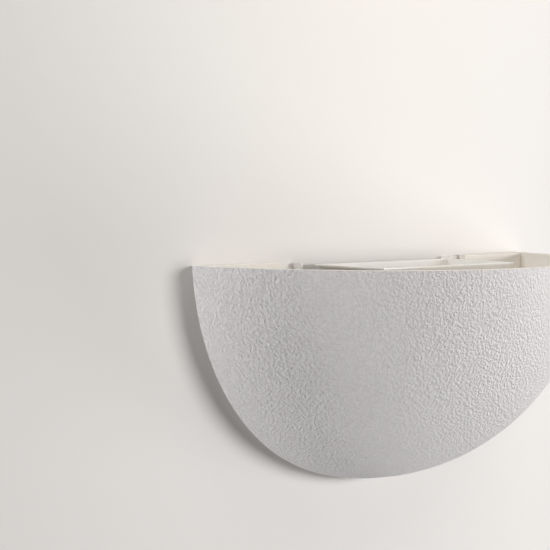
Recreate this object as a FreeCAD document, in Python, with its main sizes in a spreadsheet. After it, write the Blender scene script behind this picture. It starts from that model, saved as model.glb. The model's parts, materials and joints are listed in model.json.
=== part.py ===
# Half-bowl uplighter for a wall: a cast bowl hangs by two hooks on a sheet steel bracket, which
# carries a reflector tray with one double-ended lamp between two sprung ceramic holders.
#
# Millimetres. +X runs along the wall to the right, +Y goes into the wall, +Z is up.
# The wall is the plane y = 0, and the origin is the middle of the two wall screw slots.

import FreeCAD, Part
import math
import os

import Sketcher

# Driving dimensions, which the Sizes sheet holds.
SIZES = {
    # the bowl
    "shell_width": 300,  # bowl, along the wall
    "shell_height": 130,  # bowl, rim to lowest point
    "shell_depth": 120,  # bowl, wall to front
    "shell_wall": 6.5,  # cast wall
    "side_lean": 4.6,  # degrees that the sides lean in at the rim
    "side_turn": 65,  # degrees at which the side arc meets the bottom arc
    "rim_softening": 1,  # taken off the rim's edges
    "flange_width": 65.4,  # flat back flange at the rim, each side
    "flange_thickness": 6.5,  # flat back flange
    "opening_drop": 96,  # back opening, down from the rim
    "opening_round": 28,  # lower corners of the back opening
    "lift": 8,  # the bowl's travel up to clear the hooks
    # the wall bracket
    "rim_level": 48,  # rim above the wall screws
    "sheet": 1.5,  # bracket steel
    "plate_width": 116,  # wall plate
    "plate_drop": 34,  # wall plate below the wall screws
    "plate_rise": 13,  # wall plate above the wall screws
    "plate_round": 5,  # corners of plate, wings and ears
    "ear_reach": 13.4,  # each ear behind the bowl's flange, past the back opening
    "wing_drop": 10,  # lower edge of the wings below the wall screws
    "ear_width": 30,  # each ear
    "ear_below_rim": 0.5,  # top of the ears below the rim
    "lip_depth": 8,  # folded lip on each ear's inner edge
    "lip_height": 20,  # folded lip, down from the ear's top
    "hook_width": 8,  # each hook
    "hook_inset": 2,  # hook from the ear's outer edge
    "hook_drop": 22,  # hook's bearing face below the rim
    "hook_tip": 7,  # hook's upturned tip above its bearing face
    "hook_gap": 0.5,  # play between hook and flange
    "wall_screw_spacing": 80,  # two wall screw slots
    "wall_slot_length": 9,  # end to end
    "wall_slot_width": 4.5,  # for 4 mm screws
    "arm_spacing": 60,  # two arms under the tray, middle to middle
    "arm_width": 12,  # each arm
    "arm_reach": 50,  # wall to the arm's end
    # cable entry
    "cable_hole_x": 34,  # cable hole left of the middle
    "cable_hole_drop": 21,  # cable hole below the wall screws
    "cable_bore": 8,  # bush bore
    "bush_wall": 2,  # bush wall, also its lip's reach past the hole
    "bush_lip": 2,  # bush lip thickness
    # terminal block and earth point
    "block_width": 36,  # across the three poles
    "block_height": 20,  # along the poles
    "block_depth": 15,  # off the plate
    "block_drop": 20,  # block's middle below the wall screws
    "pole_pitch": 11,  # pole to pole
    "pole_tube": 5.5,  # clamp tube outside
    "pole_bore": 3.2,  # clamp tube bore
    "pole_depth": 6.5,  # pole axis off the plate
    "pole_screw_spacing": 10,  # two screws on each pole
    "clamp_screw": 2.6,  # clamp screw shank
    "clamp_head": 3.6,  # clamp screw head
    "well_gap": 0.2,  # play round a head in its well
    "block_nut_seat": 11,  # nut's seat off the plate
    "block_groove_width": 1.4,  # groove between two poles
    "block_groove_depth": 3.5,  # groove between two poles
    "earth_x": 32,  # earth stud right of the middle
    "earth_stud": 4,  # earth stud
    "earth_nut_flats": 7,  # earth nut across flats
    "earth_nut_height": 3.2,  # earth nut
    "washer_width": 9,  # earth washer outside
    "washer_sheet": 0.8,  # earth washer and tag
    "tag_barrel": 4,  # earth tag's crimped barrel outside
    "tag_barrel_length": 7,  # earth tag's barrel
    "small_stud": 3,  # small studs and screws
    "small_nut_flats": 5.5,  # small nuts across flats
    "small_nut_height": 2.4,  # small nuts
    "screw_head": 5.5,  # small screw heads
    "screw_head_height": 1.8,  # small screw heads
    "stud_proud": 1,  # studs and screws past their nuts
    # reflector tray
    "tray_length": 118,  # along the wall
    "tray_mouth": 48,  # across the open top
    "tray_floor": 30,  # across the floor
    "tray_depth": 30,  # top edge to underside
    "tray_sheet": 1,  # tray sheet
    "tray_hem": 1.6,  # turned-out edge
    "tray_bend": 1.5,  # inside of the bends along the floor
    "tray_off_wall": 12,  # wall to the tray's back edge
    "tray_below_rim": 1.2,  # tray's top edge below the rim
    # lamp holders
    "holder_length": 19.5,  # along the lamp
    "holder_width": 16,  # across
    "holder_back_gap": 0.3,  # holder to the tray's end
    "holder_mouth_gap": 0.3,  # round the lamp's cap
    "holder_mouth_depth": 2,  # mouth that guides the cap
    "holder_front_wall": 3.5,  # between mouth and spring chamber
    "chamber_bore": 8,  # spring chamber
    "contact_seat_length": 3.4,  # brass seat behind the spring
    "holder_screw_x": 48,  # holder screw from the middle
    "holder_screw_grip": 7,  # screw into the holder
    "plunger_shank": 5,  # contact plunger
    "plunger_tip": 3,  # flat end of the plunger
    "plunger_taper": 1,  # length of the plunger's tapered end
    "plunger_collar": 1.2,  # collar that the spring bears on
    "collar_setback": 1.4,  # collar behind the chamber's front wall, lamp in
    "plunger_tail": 3,  # tail inside the spring
    "plunger_tail_length": 4,  # tail inside the spring
    "slide_gap": 0.1,  # running play round the plunger
    "spring_wire": 0.7,  # contact spring
    "spring_turns": 5,  # contact spring
    # lamp
    "lamp_below_rim": 14,  # lamp's axis below the rim
    "lamp_length": 78.3,  # over the caps
    "contact_span": 74.9,  # contact face to contact face
    "cap_diameter": 9,  # ceramic cap
    "cap_length": 13,  # ceramic cap
    "cap_recess": 6.6,  # round the recessed contact
    "lamp_contact": 5.4,  # contact disc
    "lamp_contact_sheet": 1.2,  # contact disc
    "glass_diameter": 10,  # quartz tube
    "glass_wall": 1,  # quartz tube
    "glass_draw": 4,  # length over which each end draws in
    "glass_tip": 1.2,  # sealed filling tip on the tube, round its foot
    "glass_tip_rise": 1.6,  # sealed filling tip above the tube
    "pinch_width": 6.4,  # flattened seal
    "pinch_thickness": 2.6,  # flattened seal
    "pinch_in_cap": 6,  # seal inside the cap
    "glass_to_cap": 3,  # between the tube's end and the cap
    "filament_coil": 1.6,  # coil outside
    "filament_leg": 0.6,  # straight end of the coil
    "filament_leg_length": 3,  # straight end of the coil
    "support_wire": 0.4,  # filament support ring
    "support_spacing": 14,  # three support rings
    # leads
    "lead": 2.4,  # sleeved lead
    "lead_in_pole": 6,  # lead's end inside its pole
    "lead_hole": 3.6,  # hole in the tray's floor
    "lead_bush_wall": 1,  # bush in the tray's floor
    "lead_drop": 12,  # bottom of the lead's loop below the tray
    "earth_loop": 10,  # earth lead's loop above the wall screws
}

doc = FreeCAD.newDocument("uplighter_wall_sconce")
sizes = doc.addObject("Spreadsheet::Sheet", "Sizes")
places = doc.addObject("Spreadsheet::Sheet", "Places")
place_names = []
for row, (name, number) in enumerate(SIZES.items(), 1):
    sizes.set(f"A{row}", name)
    sizes.set(f"B{row}", str(number))
    sizes.setAlias(f"B{row}", name)


def spelled(formula):
    """The formula with each alias written with its sheet's name."""
    text = ""
    word = ""
    for letter in str(formula) + " ":
        if letter.isalnum() or letter == "_":
            word += letter
            continue
        if word in SIZES:
            word = "Sizes." + word
        elif word in place_names:
            word = "Places." + word
        text += word + letter
        word = ""
    return text.strip()


def place(name, formula, note):
    """One worked-out length or level, kept as a formula."""
    text = spelled(formula)
    place_names.append(name)
    row = len(place_names)
    places.set(f"A{row}", note)
    places.set(f"B{row}", "=" + text)
    places.setAlias(f"B{row}", name)


# --- worked-out places --------------------------------------------------------------------------
place("half_width", "shell_width / 2", "rim's end from the middle")
place("sin_lean", "sin(side_lean * 1deg)", "of the side's lean")
place("cos_lean", "cos(side_lean * 1deg)", "of the side's lean")
place("sin_turn", "sin(side_turn * 1deg)", "where the arcs meet")
place("cos_turn", "cos(side_turn * 1deg)", "where the arcs meet")
place("arc_base", "(cos_turn - cos_lean) * (1 - sin_turn) + cos_turn * (sin_turn - sin_lean)",
      "shared by both arcs")
place("side_radius", "(cos_turn * shell_height - (1 - sin_turn) * half_width) / arc_base", "side arc")
place("bottom_radius",
      "((cos_turn - cos_lean) * shell_height + (sin_turn - sin_lean) * half_width) / arc_base",
      "bottom arc")
place("inner_half_width",
      "half_width - side_radius * cos_lean"
      " + sqrt((side_radius - shell_wall) ^ 2 - (side_radius * sin_lean) ^ 2)",
      "inside of the rim's end")
place("opening_half", "half_width - flange_width", "back opening from the middle")
place("ear_edge", "opening_half + ear_reach", "ear's outer edge")
place("ear_inner", "ear_edge - ear_width", "ear's inner edge")
place("ear_top", "rim_level - ear_below_rim", "ear's top")
place("hook_outer", "ear_edge - hook_inset", "hook's outer side")
place("hook_inner", "hook_outer - hook_width", "hook's inner side")
place("hook_level", "rim_level - hook_drop", "hook's bearing face")
place("hook_front", "flange_thickness + hook_gap + sheet", "hook's tip, off the wall")
place("tray_top", "rim_level - tray_below_rim", "tray's top edge")
place("tray_under", "tray_top - tray_depth", "underside of the tray's floor")
place("tray_inside", "tray_under + tray_sheet", "top of the tray's floor")
place("lamp_y", "tray_off_wall + tray_mouth / 2", "lamp's axis off the wall")
place("lamp_z", "rim_level - lamp_below_rim", "lamp's axis")
place("holder_back", "tray_length / 2 - tray_sheet - holder_back_gap", "holder's back from the middle")
place("holder_front", "holder_back - holder_length", "holder's front from the middle")
place("chamber_front", "holder_front + holder_mouth_depth + holder_front_wall", "spring chamber")
place("seat_front", "holder_back - contact_seat_length", "brass seat's face")
place("collar_front", "chamber_front + collar_setback", "plunger's collar")
place("collar_back", "collar_front + plunger_collar", "plunger's collar")
place("contact_face", "contact_span / 2", "lamp's contact face from the middle")
place("cap_end", "lamp_length / 2", "cap's outer end")
place("cap_start", "cap_end - cap_length", "cap's inner end")
place("glass_end", "cap_start - glass_to_cap", "tube's end")
place("lead_x", "holder_back - contact_seat_length / 2", "lead's drop from the middle")
place("block_z", "0 - block_drop", "block's middle")
place("block_top", "block_z + block_height / 2", "block's top")
place("pole_y", "sheet + pole_depth", "pole's axis off the wall")
place("stud_x", "pole_pitch / 2", "block's stud from the middle")
doc.recompute()


def got(name):
    """The present value of a size or a worked-out place, as a plain number."""
    sheet = sizes if name in SIZES else places
    return float(sheet.get(name))


def bind(thing, **formulas):
    """Ties properties of a thing to formulas; at_x, at_y and at_z are its place."""
    for prop, formula in formulas.items():
        if prop in ("at_x", "at_y", "at_z"):
            prop = "Placement.Base." + prop[-1]
        thing.setExpression(prop, spelled(formula))
    return thing


TURNS = {
    "x": FreeCAD.Rotation(FreeCAD.Vector(0, 1, 0), 90),
    "-x": FreeCAD.Rotation(FreeCAD.Vector(0, 1, 0), -90),
    "y": FreeCAD.Rotation(FreeCAD.Vector(1, 0, 0), -90),
    "-y": FreeCAD.Rotation(FreeCAD.Vector(1, 0, 0), 90),
    "z": FreeCAD.Rotation(),
    "-z": FreeCAD.Rotation(FreeCAD.Vector(1, 0, 0), 180),
}


def box(name, x_from, x_to, y_from, y_to, z_from, z_to):
    """A block between two values on each axis."""
    thing = doc.addObject("Part::Box", name)
    bind(thing, Length=f"({x_to}) - ({x_from})", Width=f"({y_to}) - ({y_from})")
    bind(thing, Height=f"({z_to}) - ({z_from})", at_x=x_from, at_y=y_from, at_z=z_from)
    return thing


def side_box(name, side, near, far, y_from, y_to, z_from, z_to):
    """A block between two distances from the middle, on the right (1) or the left (-1)."""
    if side > 0:
        return box(name, near, far, y_from, y_to, z_from, z_to)
    return box(name, f"0 - ({far})", f"0 - ({near})", y_from, y_to, z_from, z_to)


def rod(name, way, radius, length, x, y, z):
    """A round bar that starts at a point and runs one way along an axis."""
    thing = doc.addObject("Part::Cylinder", name)
    thing.Placement = FreeCAD.Placement(FreeCAD.Vector(), TURNS[way])
    return bind(thing, Radius=radius, Height=length, at_x=x, at_y=y, at_z=z)


def lamp_rod(name, side, radius, near, far):
    """A round bar on the lamp's axis, between two distances from the middle."""
    way = "x" if side > 0 else "-x"
    return rod(name, way, radius, f"({far}) - ({near})", f"{side} * ({near})", "0 - lamp_y", "lamp_z")


def cone(name, way, radius_from, radius_to, length, x, y, z):
    """A tapered bar that starts at a point and runs one way along an axis."""
    thing = doc.addObject("Part::Cone", name)
    thing.Placement = FreeCAD.Placement(FreeCAD.Vector(), TURNS[way])
    return bind(thing, Radius1=radius_from, Radius2=radius_to, Height=length, at_x=x, at_y=y, at_z=z)


def fuse(name, *things):
    thing = doc.addObject("Part::MultiFuse", name)
    thing.Shapes = list(things)
    thing.Refine = True
    return thing


def cut(name, base, *tools):
    thing = doc.addObject("Part::Cut", name)
    thing.Base = base
    thing.Tool = tools[0] if len(tools) == 1 else fuse(name + "_tools", *tools)
    thing.Refine = True
    return thing


def group(name, *things):
    """Like pieces that stay separate solids in one node."""
    thing = doc.addObject("Part::Compound", name)
    thing.Links = list(things)
    return thing


def hex_nut(name, way, flats, height, bore, x, y, z):
    blank = doc.addObject("Part::Prism", name + "_blank")
    blank.Polygon = 6
    blank.Placement = FreeCAD.Placement(FreeCAD.Vector(), TURNS[way])
    bind(blank, Circumradius=f"({flats}) / 2 / cos(30deg)", Height=height, at_x=x, at_y=y, at_z=z)
    hole = rod(name + "_hole", way, f"({bore}) / 2", height, x, y, z)
    return cut(name, blank, hole)


def eased(kind, name, base, amount_of):
    """A Part::Fillet or Part::Chamfer of each edge for which amount_of gives an amount."""
    doc.recompute()
    picked = []
    for index, edge in enumerate(base.Shape.Edges, 1):
        amount = amount_of(edge)
        if amount:
            picked.append((index, amount, amount))
    thing = doc.addObject(kind, name)
    thing.Base = base
    thing.Edges = picked
    print(f"{name}: {len(picked)} edges eased")
    return thing


def same(first, second):
    return abs(first - second) < 0.01


def finish(thing, label):
    """Marks a thing as one node of the object."""
    thing.Label = label
    nodes.append(thing)
    return thing


nodes = []
SIDES = {"left": -1, "right": 1}


# --- the bowl -----------------------------------------------------------------------------------
OVERSWING = 4


def oval_half(name, half_width, height, side_radius, bottom_radius):
    """A closed half oval under the X axis: a side arc, a bottom arc and a side arc, all tangent.

    Its plane stands a few degrees behind the wall, so that the swing cuts cleanly there.
    """
    end = got("half_width")
    big = got("bottom_radius")
    small = got("side_radius")
    lean = math.radians(got("side_lean"))
    turn = math.radians(got("side_turn"))
    middle = FreeCAD.Vector(0, big - got("shell_height"), 0)
    up = FreeCAD.Vector(0, 0, 1)
    sketch = doc.addObject("Sketcher::SketchObject", name)
    turn_back = FreeCAD.Rotation(FreeCAD.Vector(1, 0, 0), 90 + OVERSWING)
    sketch.Placement = FreeCAD.Placement(FreeCAD.Vector(), turn_back)
    centre = FreeCAD.Vector(end - small * math.cos(lean), small * math.sin(lean), 0)
    right = Part.ArcOfCircle(Part.Circle(centre, up, small), -turn, -lean)
    bottom = Part.ArcOfCircle(Part.Circle(middle, up, big), turn - math.pi, -turn)
    centre = FreeCAD.Vector(-centre.x, centre.y, 0)
    left = Part.ArcOfCircle(Part.Circle(centre, up, small), lean - math.pi, turn - math.pi)
    top = Part.LineSegment(FreeCAD.Vector(-end, 0, 0), FreeCAD.Vector(end, 0, 0))
    for piece in (right, bottom, left, top):
        sketch.addGeometry(piece, False)
    sketch.addConstraint(Sketcher.Constraint("Tangent", 0, 1, 1, 2))
    sketch.addConstraint(Sketcher.Constraint("Tangent", 1, 1, 2, 2))
    sketch.addConstraint(Sketcher.Constraint("Coincident", 2, 1, 3, 1))
    sketch.addConstraint(Sketcher.Constraint("Coincident", 0, 2, 3, 2))
    sketch.addConstraint(Sketcher.Constraint("PointOnObject", 3, 1, -1))
    sketch.addConstraint(Sketcher.Constraint("Symmetric", 3, 1, 3, 2, -1, 1))
    sketch.addConstraint(Sketcher.Constraint("PointOnObject", 1, 3, -2))
    sketch.addConstraint(Sketcher.Constraint("Equal", 0, 2))
    measures = (
        ("width", Sketcher.Constraint("DistanceX", 3, 1, 3, 2, 2 * end), f"2 * ({half_width})"),
        ("side", Sketcher.Constraint("Radius", 0, small), side_radius),
        ("bottom", Sketcher.Constraint("Radius", 1, big), bottom_radius),
        ("middle", Sketcher.Constraint("DistanceY", -1, 1, 1, 3, middle.y),
         f"({bottom_radius}) - ({height})"),
    )
    for label, constraint, formula in measures:
        index = sketch.addConstraint(constraint)
        sketch.renameConstraint(index, label)
        sketch.setExpression("Constraints." + label, spelled(formula))
    return sketch


def quarter_swing(name, outline, depth_share):
    """The outline swung about the rim's line past the wall and the rim, then drawn to its depth."""
    swung = doc.addObject("Part::Revolution", name + "_swung")
    swung.Source = outline
    swung.Axis = FreeCAD.Vector(-1, 0, 0)
    swung.Base = FreeCAD.Vector(0, 0, 0)
    swung.Angle = 90 + 2 * OVERSWING
    swung.Solid = True
    drawn = doc.addObject("Part::Scale", name)
    drawn.Base = swung
    drawn.Uniform = False
    drawn.XScale = 1
    drawn.ZScale = 1
    bind(drawn, YScale=depth_share, at_z="rim_level")
    return drawn


def back_opening(name):
    """The opening in the flat back: straight sides, open at the rim, round lower corners."""
    over = 1
    front = f"0 - flange_thickness - {over}"
    bottom = "rim_level - opening_drop"
    top = f"rim_level + {over}"
    upper = box(name + "_upper", "0 - opening_half", "opening_half", front, over,
                f"{bottom} + opening_round", top)
    lower = box(name + "_lower", "opening_round - opening_half", "opening_half - opening_round",
                front, over, bottom, top)
    corners = []
    for word, side in SIDES.items():
        corners.append(rod(name + "_corner_" + word, "y", "opening_round",
                           f"flange_thickness + 2 * {over}",
                           f"{side} * (opening_half - opening_round)", front,
                           f"{bottom} + opening_round"))
    return fuse(name, upper, lower, *corners)


def make_shell():
    over = 1
    outside = oval_half("shell_outline", "half_width", "shell_height", "side_radius", "bottom_radius")
    inside = oval_half("cavity_outline", "inner_half_width", "shell_height - shell_wall",
                       "side_radius - shell_wall", "bottom_radius - shell_wall")
    swing = quarter_swing("shell_swing", outside, "shell_depth / shell_height")
    behind = box("behind_wall", "0 - shell_width", "shell_width", "0", "shell_depth",
                 "0 - shell_height * 2", "rim_level + shell_height")
    above = box("above_rim", "0 - shell_width", "shell_width", "0 - shell_depth * 2", "shell_depth",
                "rim_level", "rim_level + shell_height")
    solid = cut("shell_solid", swing, behind, above)
    cavity_swing = quarter_swing("cavity_swing", inside,
                                 "(shell_depth - shell_wall) / (shell_height - shell_wall)")
    back = box("behind_flange", "0 - shell_width", "shell_width", "0 - flange_thickness",
               "shell_depth", "0 - shell_height * 2", "rim_level + shell_height")
    cavity = cut("cavity", cavity_swing, back)
    tools = [cavity, back_opening("back_opening")]
    for word, side in SIDES.items():
        tools.append(side_box("ear_recess_" + word, side, f"opening_half - {over}",
                              "ear_edge + hook_gap * 2", "0 - sheet - hook_gap", over,
                              "0 - wing_drop - lift - hook_gap * 2", f"rim_level + {over}"))
        tools.append(side_box("hook_slot_" + word, side, "hook_inner - hook_gap * 1.5",
                              "hook_outer + hook_gap * 1.5", f"0 - flange_thickness - {over}", over,
                              "hook_level - sheet - lift - hook_gap", "hook_level"))
    sharp = cut("shell_sharp", solid, *tools)
    rim = got("rim_level")
    soft = got("rim_softening")

    def rim_edge(edge):
        level = same(edge.BoundBox.ZMin, rim) and same(edge.BoundBox.ZMax, rim)
        across = edge.BoundBox.YLength > got("shell_depth") / 2
        return soft if level and across else 0

    return eased("Part::Chamfer", "shell", sharp, rim_edge)


# --- the wall bracket ---------------------------------------------------------------------------
def slot(name, x, z):
    """A wall screw slot that runs along the wall."""
    over = 1
    front = f"0 - sheet - {over}"
    through = f"sheet + 2 * {over}"
    half_run = "(wall_slot_length - wall_slot_width) / 2"
    middle = box(name + "_middle", f"{x} - {half_run}", f"{x} + {half_run}", front, over,
                 f"{z} - wall_slot_width / 2", f"{z} + wall_slot_width / 2")
    ends = []
    for word, side in SIDES.items():
        ends.append(rod(name + "_end_" + word, "y", "wall_slot_width / 2", through,
                        f"{x} + {side} * {half_run}", front, z))
    return fuse(name, middle, *ends)


def make_bracket():
    sheet_front = "0 - sheet"
    plate = box("plate", "0 - plate_width / 2", "plate_width / 2", sheet_front, "0",
                "0 - plate_drop", "plate_rise")
    wings = box("wings", "0 - ear_edge", "ear_edge", sheet_front, "0", "0 - wing_drop", "plate_rise")
    pieces = [plate, wings]
    holes = []
    for word, side in SIDES.items():
        pieces.append(side_box("ear_" + word, side, "ear_inner", "ear_edge", sheet_front, "0",
                               "0 - wing_drop", "ear_top"))
        pieces.append(side_box("lip_" + word, side, "ear_inner", "ear_inner + sheet",
                               "0 - lip_depth", "0", "ear_top - lip_height", "ear_top"))
        pieces.append(side_box("hook_leg_" + word, side, "hook_inner", "hook_outer",
                               "0 - hook_front", "0", "hook_level - sheet", "hook_level"))
        pieces.append(side_box("hook_tip_" + word, side, "hook_inner", "hook_outer",
                               "0 - hook_front", "sheet - hook_front", "hook_level - sheet",
                               "hook_level + hook_tip"))
        arm_from = "(arm_spacing - arm_width) / 2"
        arm_to = "(arm_spacing + arm_width) / 2"
        pieces.append(side_box("arm_root_" + word, side, arm_from, arm_to, sheet_front, "0",
                               "0", "tray_under"))
        pieces.append(side_box("arm_" + word, side, arm_from, arm_to, "0 - arm_reach", "0",
                               "tray_under - sheet", "tray_under"))
        holes.append(side_box("hook_window_" + word, side, "hook_inner", "hook_outer", "0 - sheet", "sheet",
                              "hook_level", "hook_level + hook_front + hook_tip - sheet"))
        holes.append(rod("arm_hole_" + word, "z", "small_stud / 2", "sheet * 3",
                         f"{side} * arm_spacing / 2", "0 - lamp_y", "tray_under - sheet * 2"))
        holes.append(slot("wall_slot_" + word, f"{side} * wall_screw_spacing / 2", "0"))
    pieces.append(rod("block_stud", "-y", "small_stud / 2",
                      "sheet + block_nut_seat + small_nut_height + stud_proud",
                      "stud_x", "0", "block_z"))
    pieces.append(rod("earth_stud", "-y", "earth_stud / 2",
                      "sheet + 2 * washer_sheet + earth_nut_height + 2 * stud_proud",
                      "earth_x", "0", "block_z"))
    holes.append(rod("cable_hole", "y", "cable_bore / 2 + bush_wall", "sheet * 3",
                     "0 - cable_hole_x", "0 - sheet * 2", "0 - cable_hole_drop"))
    sharp = cut("bracket_sharp", fuse("bracket_blank", *pieces), *holes)
    corners = [
        (got("plate_width") / 2, -got("plate_drop"), got("plate_round")),
        (got("plate_width") / 2, -got("wing_drop"), got("plate_round") / 2),
        (got("ear_edge"), -got("wing_drop"), got("plate_round")),
        (got("ear_edge"), got("ear_top"), got("plate_round")),
    ]
    outer_bend = 2 * got("sheet")

    def bracket_radius(edge):
        """Corner edges run into the wall; bends run along the arms' roots, hooks and lips."""
        middle = edge.BoundBox.Center
        if same(edge.BoundBox.YLength, edge.Length) and same(edge.Length, got("sheet")):
            for x, z, radius in corners:
                if same(abs(middle.x), x) and same(middle.z, z):
                    return radius
        along_x = same(edge.BoundBox.XLength, edge.Length)
        if along_x and same(middle.y, 0) and same(middle.z, got("tray_under")):
            return outer_bend
        if along_x and same(middle.y, -got("sheet")) and same(middle.z, got("tray_under") - got("sheet")):
            return got("sheet")
        if along_x and same(middle.y, -got("hook_front")) and same(middle.z, got("hook_level") - got("sheet")):
            return got("sheet")
        along_z = same(edge.BoundBox.ZLength, edge.Length)
        if along_z and same(abs(middle.x), got("ear_inner")) and same(middle.y, 0):
            return got("sheet")
        return 0

    return eased("Part::Fillet", "wall_bracket", sharp, bracket_radius)


def make_cable_bush():
    x = "0 - cable_hole_x"
    z = "0 - cable_hole_drop"
    sleeve = rod("bush_sleeve", "-y", "cable_bore / 2 + bush_wall", "sheet", x, "0", z)
    lip = rod("bush_lip", "-y", "cable_bore / 2 + 2 * bush_wall", "bush_lip", x, "0 - sheet", z)
    bore = rod("bush_bore", "-y", "cable_bore / 2", "sheet + bush_lip", x, "0", z)
    return cut("cable_bush", fuse("bush_blank", sleeve, lip), bore)


# --- terminal block and earth point -------------------------------------------------------------
POLES = {"left": -1, "middle": 0, "right": 1}


def clamp_screw_rods(name, pole, rise, radius, y_from, y_to):
    return rod(name, "-y", radius, f"({y_to}) - ({y_from})", f"{pole} * pole_pitch",
               f"0 - ({y_from})", f"block_z + {rise} * pole_screw_spacing / 2")


def make_terminals():
    body = box("block_body", "0 - block_width / 2", "block_width / 2", "0 - sheet - block_depth",
               "0 - sheet", "block_z - block_height / 2", "block_top")
    tools = []
    tubes = []
    screws = []
    front = "sheet + block_depth"
    for word, pole in POLES.items():
        x = f"{pole} * pole_pitch"
        bottom = "block_z - block_height / 2"
        tools.append(rod("pole_way_" + word, "z", "pole_tube / 2", "block_height", x, "0 - pole_y", bottom))
        tube = rod("tube_" + word, "z", "pole_tube / 2", "block_height - 2 * stud_proud", x,
                   "0 - pole_y", f"{bottom} + stud_proud")
        bores = [rod("tube_bore_" + word, "z", "pole_bore / 2", "block_height", x, "0 - pole_y", bottom)]
        for end, rise in (("low", -1), ("high", 1)):
            mark = word + "_" + end
            bores.append(clamp_screw_rods("tap_" + mark, pole, rise, "clamp_screw / 2", "pole_y", front))
            tools.append(clamp_screw_rods("well_" + mark, pole, rise, "clamp_head / 2 + well_gap",
                                          "pole_y", f"{front} + stud_proud"))
            shank = clamp_screw_rods("shank_" + mark, pole, rise, "clamp_screw / 2",
                                     "pole_y + lead / 2", "pole_y + pole_tube / 2 + stud_proud")
            head = clamp_screw_rods("head_" + mark, pole, rise, "clamp_head / 2",
                                    "pole_y + pole_tube / 2 + stud_proud", f"{front} - stud_proud")
            screws.append(fuse("clamp_screw_" + mark, shank, head))
        tubes.append(cut("clamp_tube_" + word, tube, *bores))
    for word, side in SIDES.items():
        x = f"{side} * pole_pitch / 2"
        tools.append(box("pole_groove_" + word, f"{x} - block_groove_width / 2",
                         f"{x} + block_groove_width / 2", f"0 - ({front}) - stud_proud",
                         f"block_groove_depth - ({front})", "block_z - block_height", "block_z + block_height"))
    tools.append(rod("stud_way", "-y", "small_stud / 2 + well_gap", "block_depth", "stud_x",
                     "0 - sheet", "block_z"))
    tools.append(rod("nut_way", "-y", "small_nut_flats / 2 / cos(30deg) + well_gap", "block_depth",
                     "stud_x", "0 - sheet - block_nut_seat", "block_z"))
    finish(cut("terminal_block", body, *tools), "terminal_block")
    finish(group("terminal_tubes", *tubes), "terminal_tubes")
    finish(group("terminal_screws", *screws), "terminal_screws")
    finish(hex_nut("terminal_nut", "-y", "small_nut_flats", "small_nut_height", "small_stud",
                   "stud_x", "0 - sheet - block_nut_seat", "block_z"), "terminal_nut")


def make_earth_point():
    hole = "earth_stud / 2"
    washer = rod("washer_disc", "-y", "washer_width / 2", "washer_sheet", "earth_x", "0 - sheet", "block_z")
    washer_hole = rod("washer_hole", "-y", hole, "washer_sheet", "earth_x", "0 - sheet", "block_z")
    finish(cut("earth_washer", washer, washer_hole), "earth_washer")
    tag_y = "0 - sheet - washer_sheet"
    ring = rod("tag_ring", "-y", "washer_width / 2", "washer_sheet", "earth_x", tag_y, "block_z")
    tongue = box("tag_tongue", "earth_x - tag_barrel / 2", "earth_x + tag_barrel / 2",
                 f"{tag_y} - washer_sheet", tag_y, "block_z", "block_z + washer_width / 2 + stud_proud")
    barrel = rod("tag_barrel", "z", "tag_barrel / 2", "tag_barrel_length", "earth_x",
                 f"{tag_y} - tag_barrel / 2", "block_z + washer_width / 2 + stud_proud")
    barrel_bore = rod("tag_barrel_bore", "z", "lead / 2", "tag_barrel_length", "earth_x",
                      f"{tag_y} - tag_barrel / 2", "block_z + washer_width / 2 + 2 * stud_proud")
    stud_hole = rod("tag_hole", "-y", hole, "washer_sheet", "earth_x", tag_y, "block_z")
    finish(cut("earth_tag", fuse("tag_blank", ring, tongue, barrel), barrel_bore, stud_hole), "earth_tag")
    finish(hex_nut("earth_nut", "-y", "earth_nut_flats", "earth_nut_height", "earth_stud", "earth_x",
                   f"{tag_y} - washer_sheet", "block_z"), "earth_nut")


# --- reflector tray -----------------------------------------------------------------------------
def trough(name, margin, floor_level, top_level):
    """A tapered block, narrow at the floor and wide at the top, less a margin all round."""
    thing = doc.addObject("Part::Wedge", name)
    thing.Placement = FreeCAD.Placement(FreeCAD.Vector(), FreeCAD.Rotation(FreeCAD.Vector(1, 0, 0), 90))
    half_long = f"tray_length / 2 - ({margin})"
    half_floor = f"tray_floor / 2 - ({margin})"
    half_mouth = f"tray_mouth / 2 - ({margin})"
    bind(thing, Xmin=f"0 - ({half_long})", Xmax=half_long, X2min=f"0 - ({half_long})", X2max=half_long)
    bind(thing, Zmin=f"0 - ({half_floor})", Zmax=half_floor)
    bind(thing, Z2min=f"0 - ({half_mouth})", Z2max=half_mouth)
    bind(thing, Ymin="0", Ymax=f"({top_level}) - ({floor_level})")
    return bind(thing, at_x="0", at_y="0 - lamp_y", at_z=floor_level)


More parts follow.
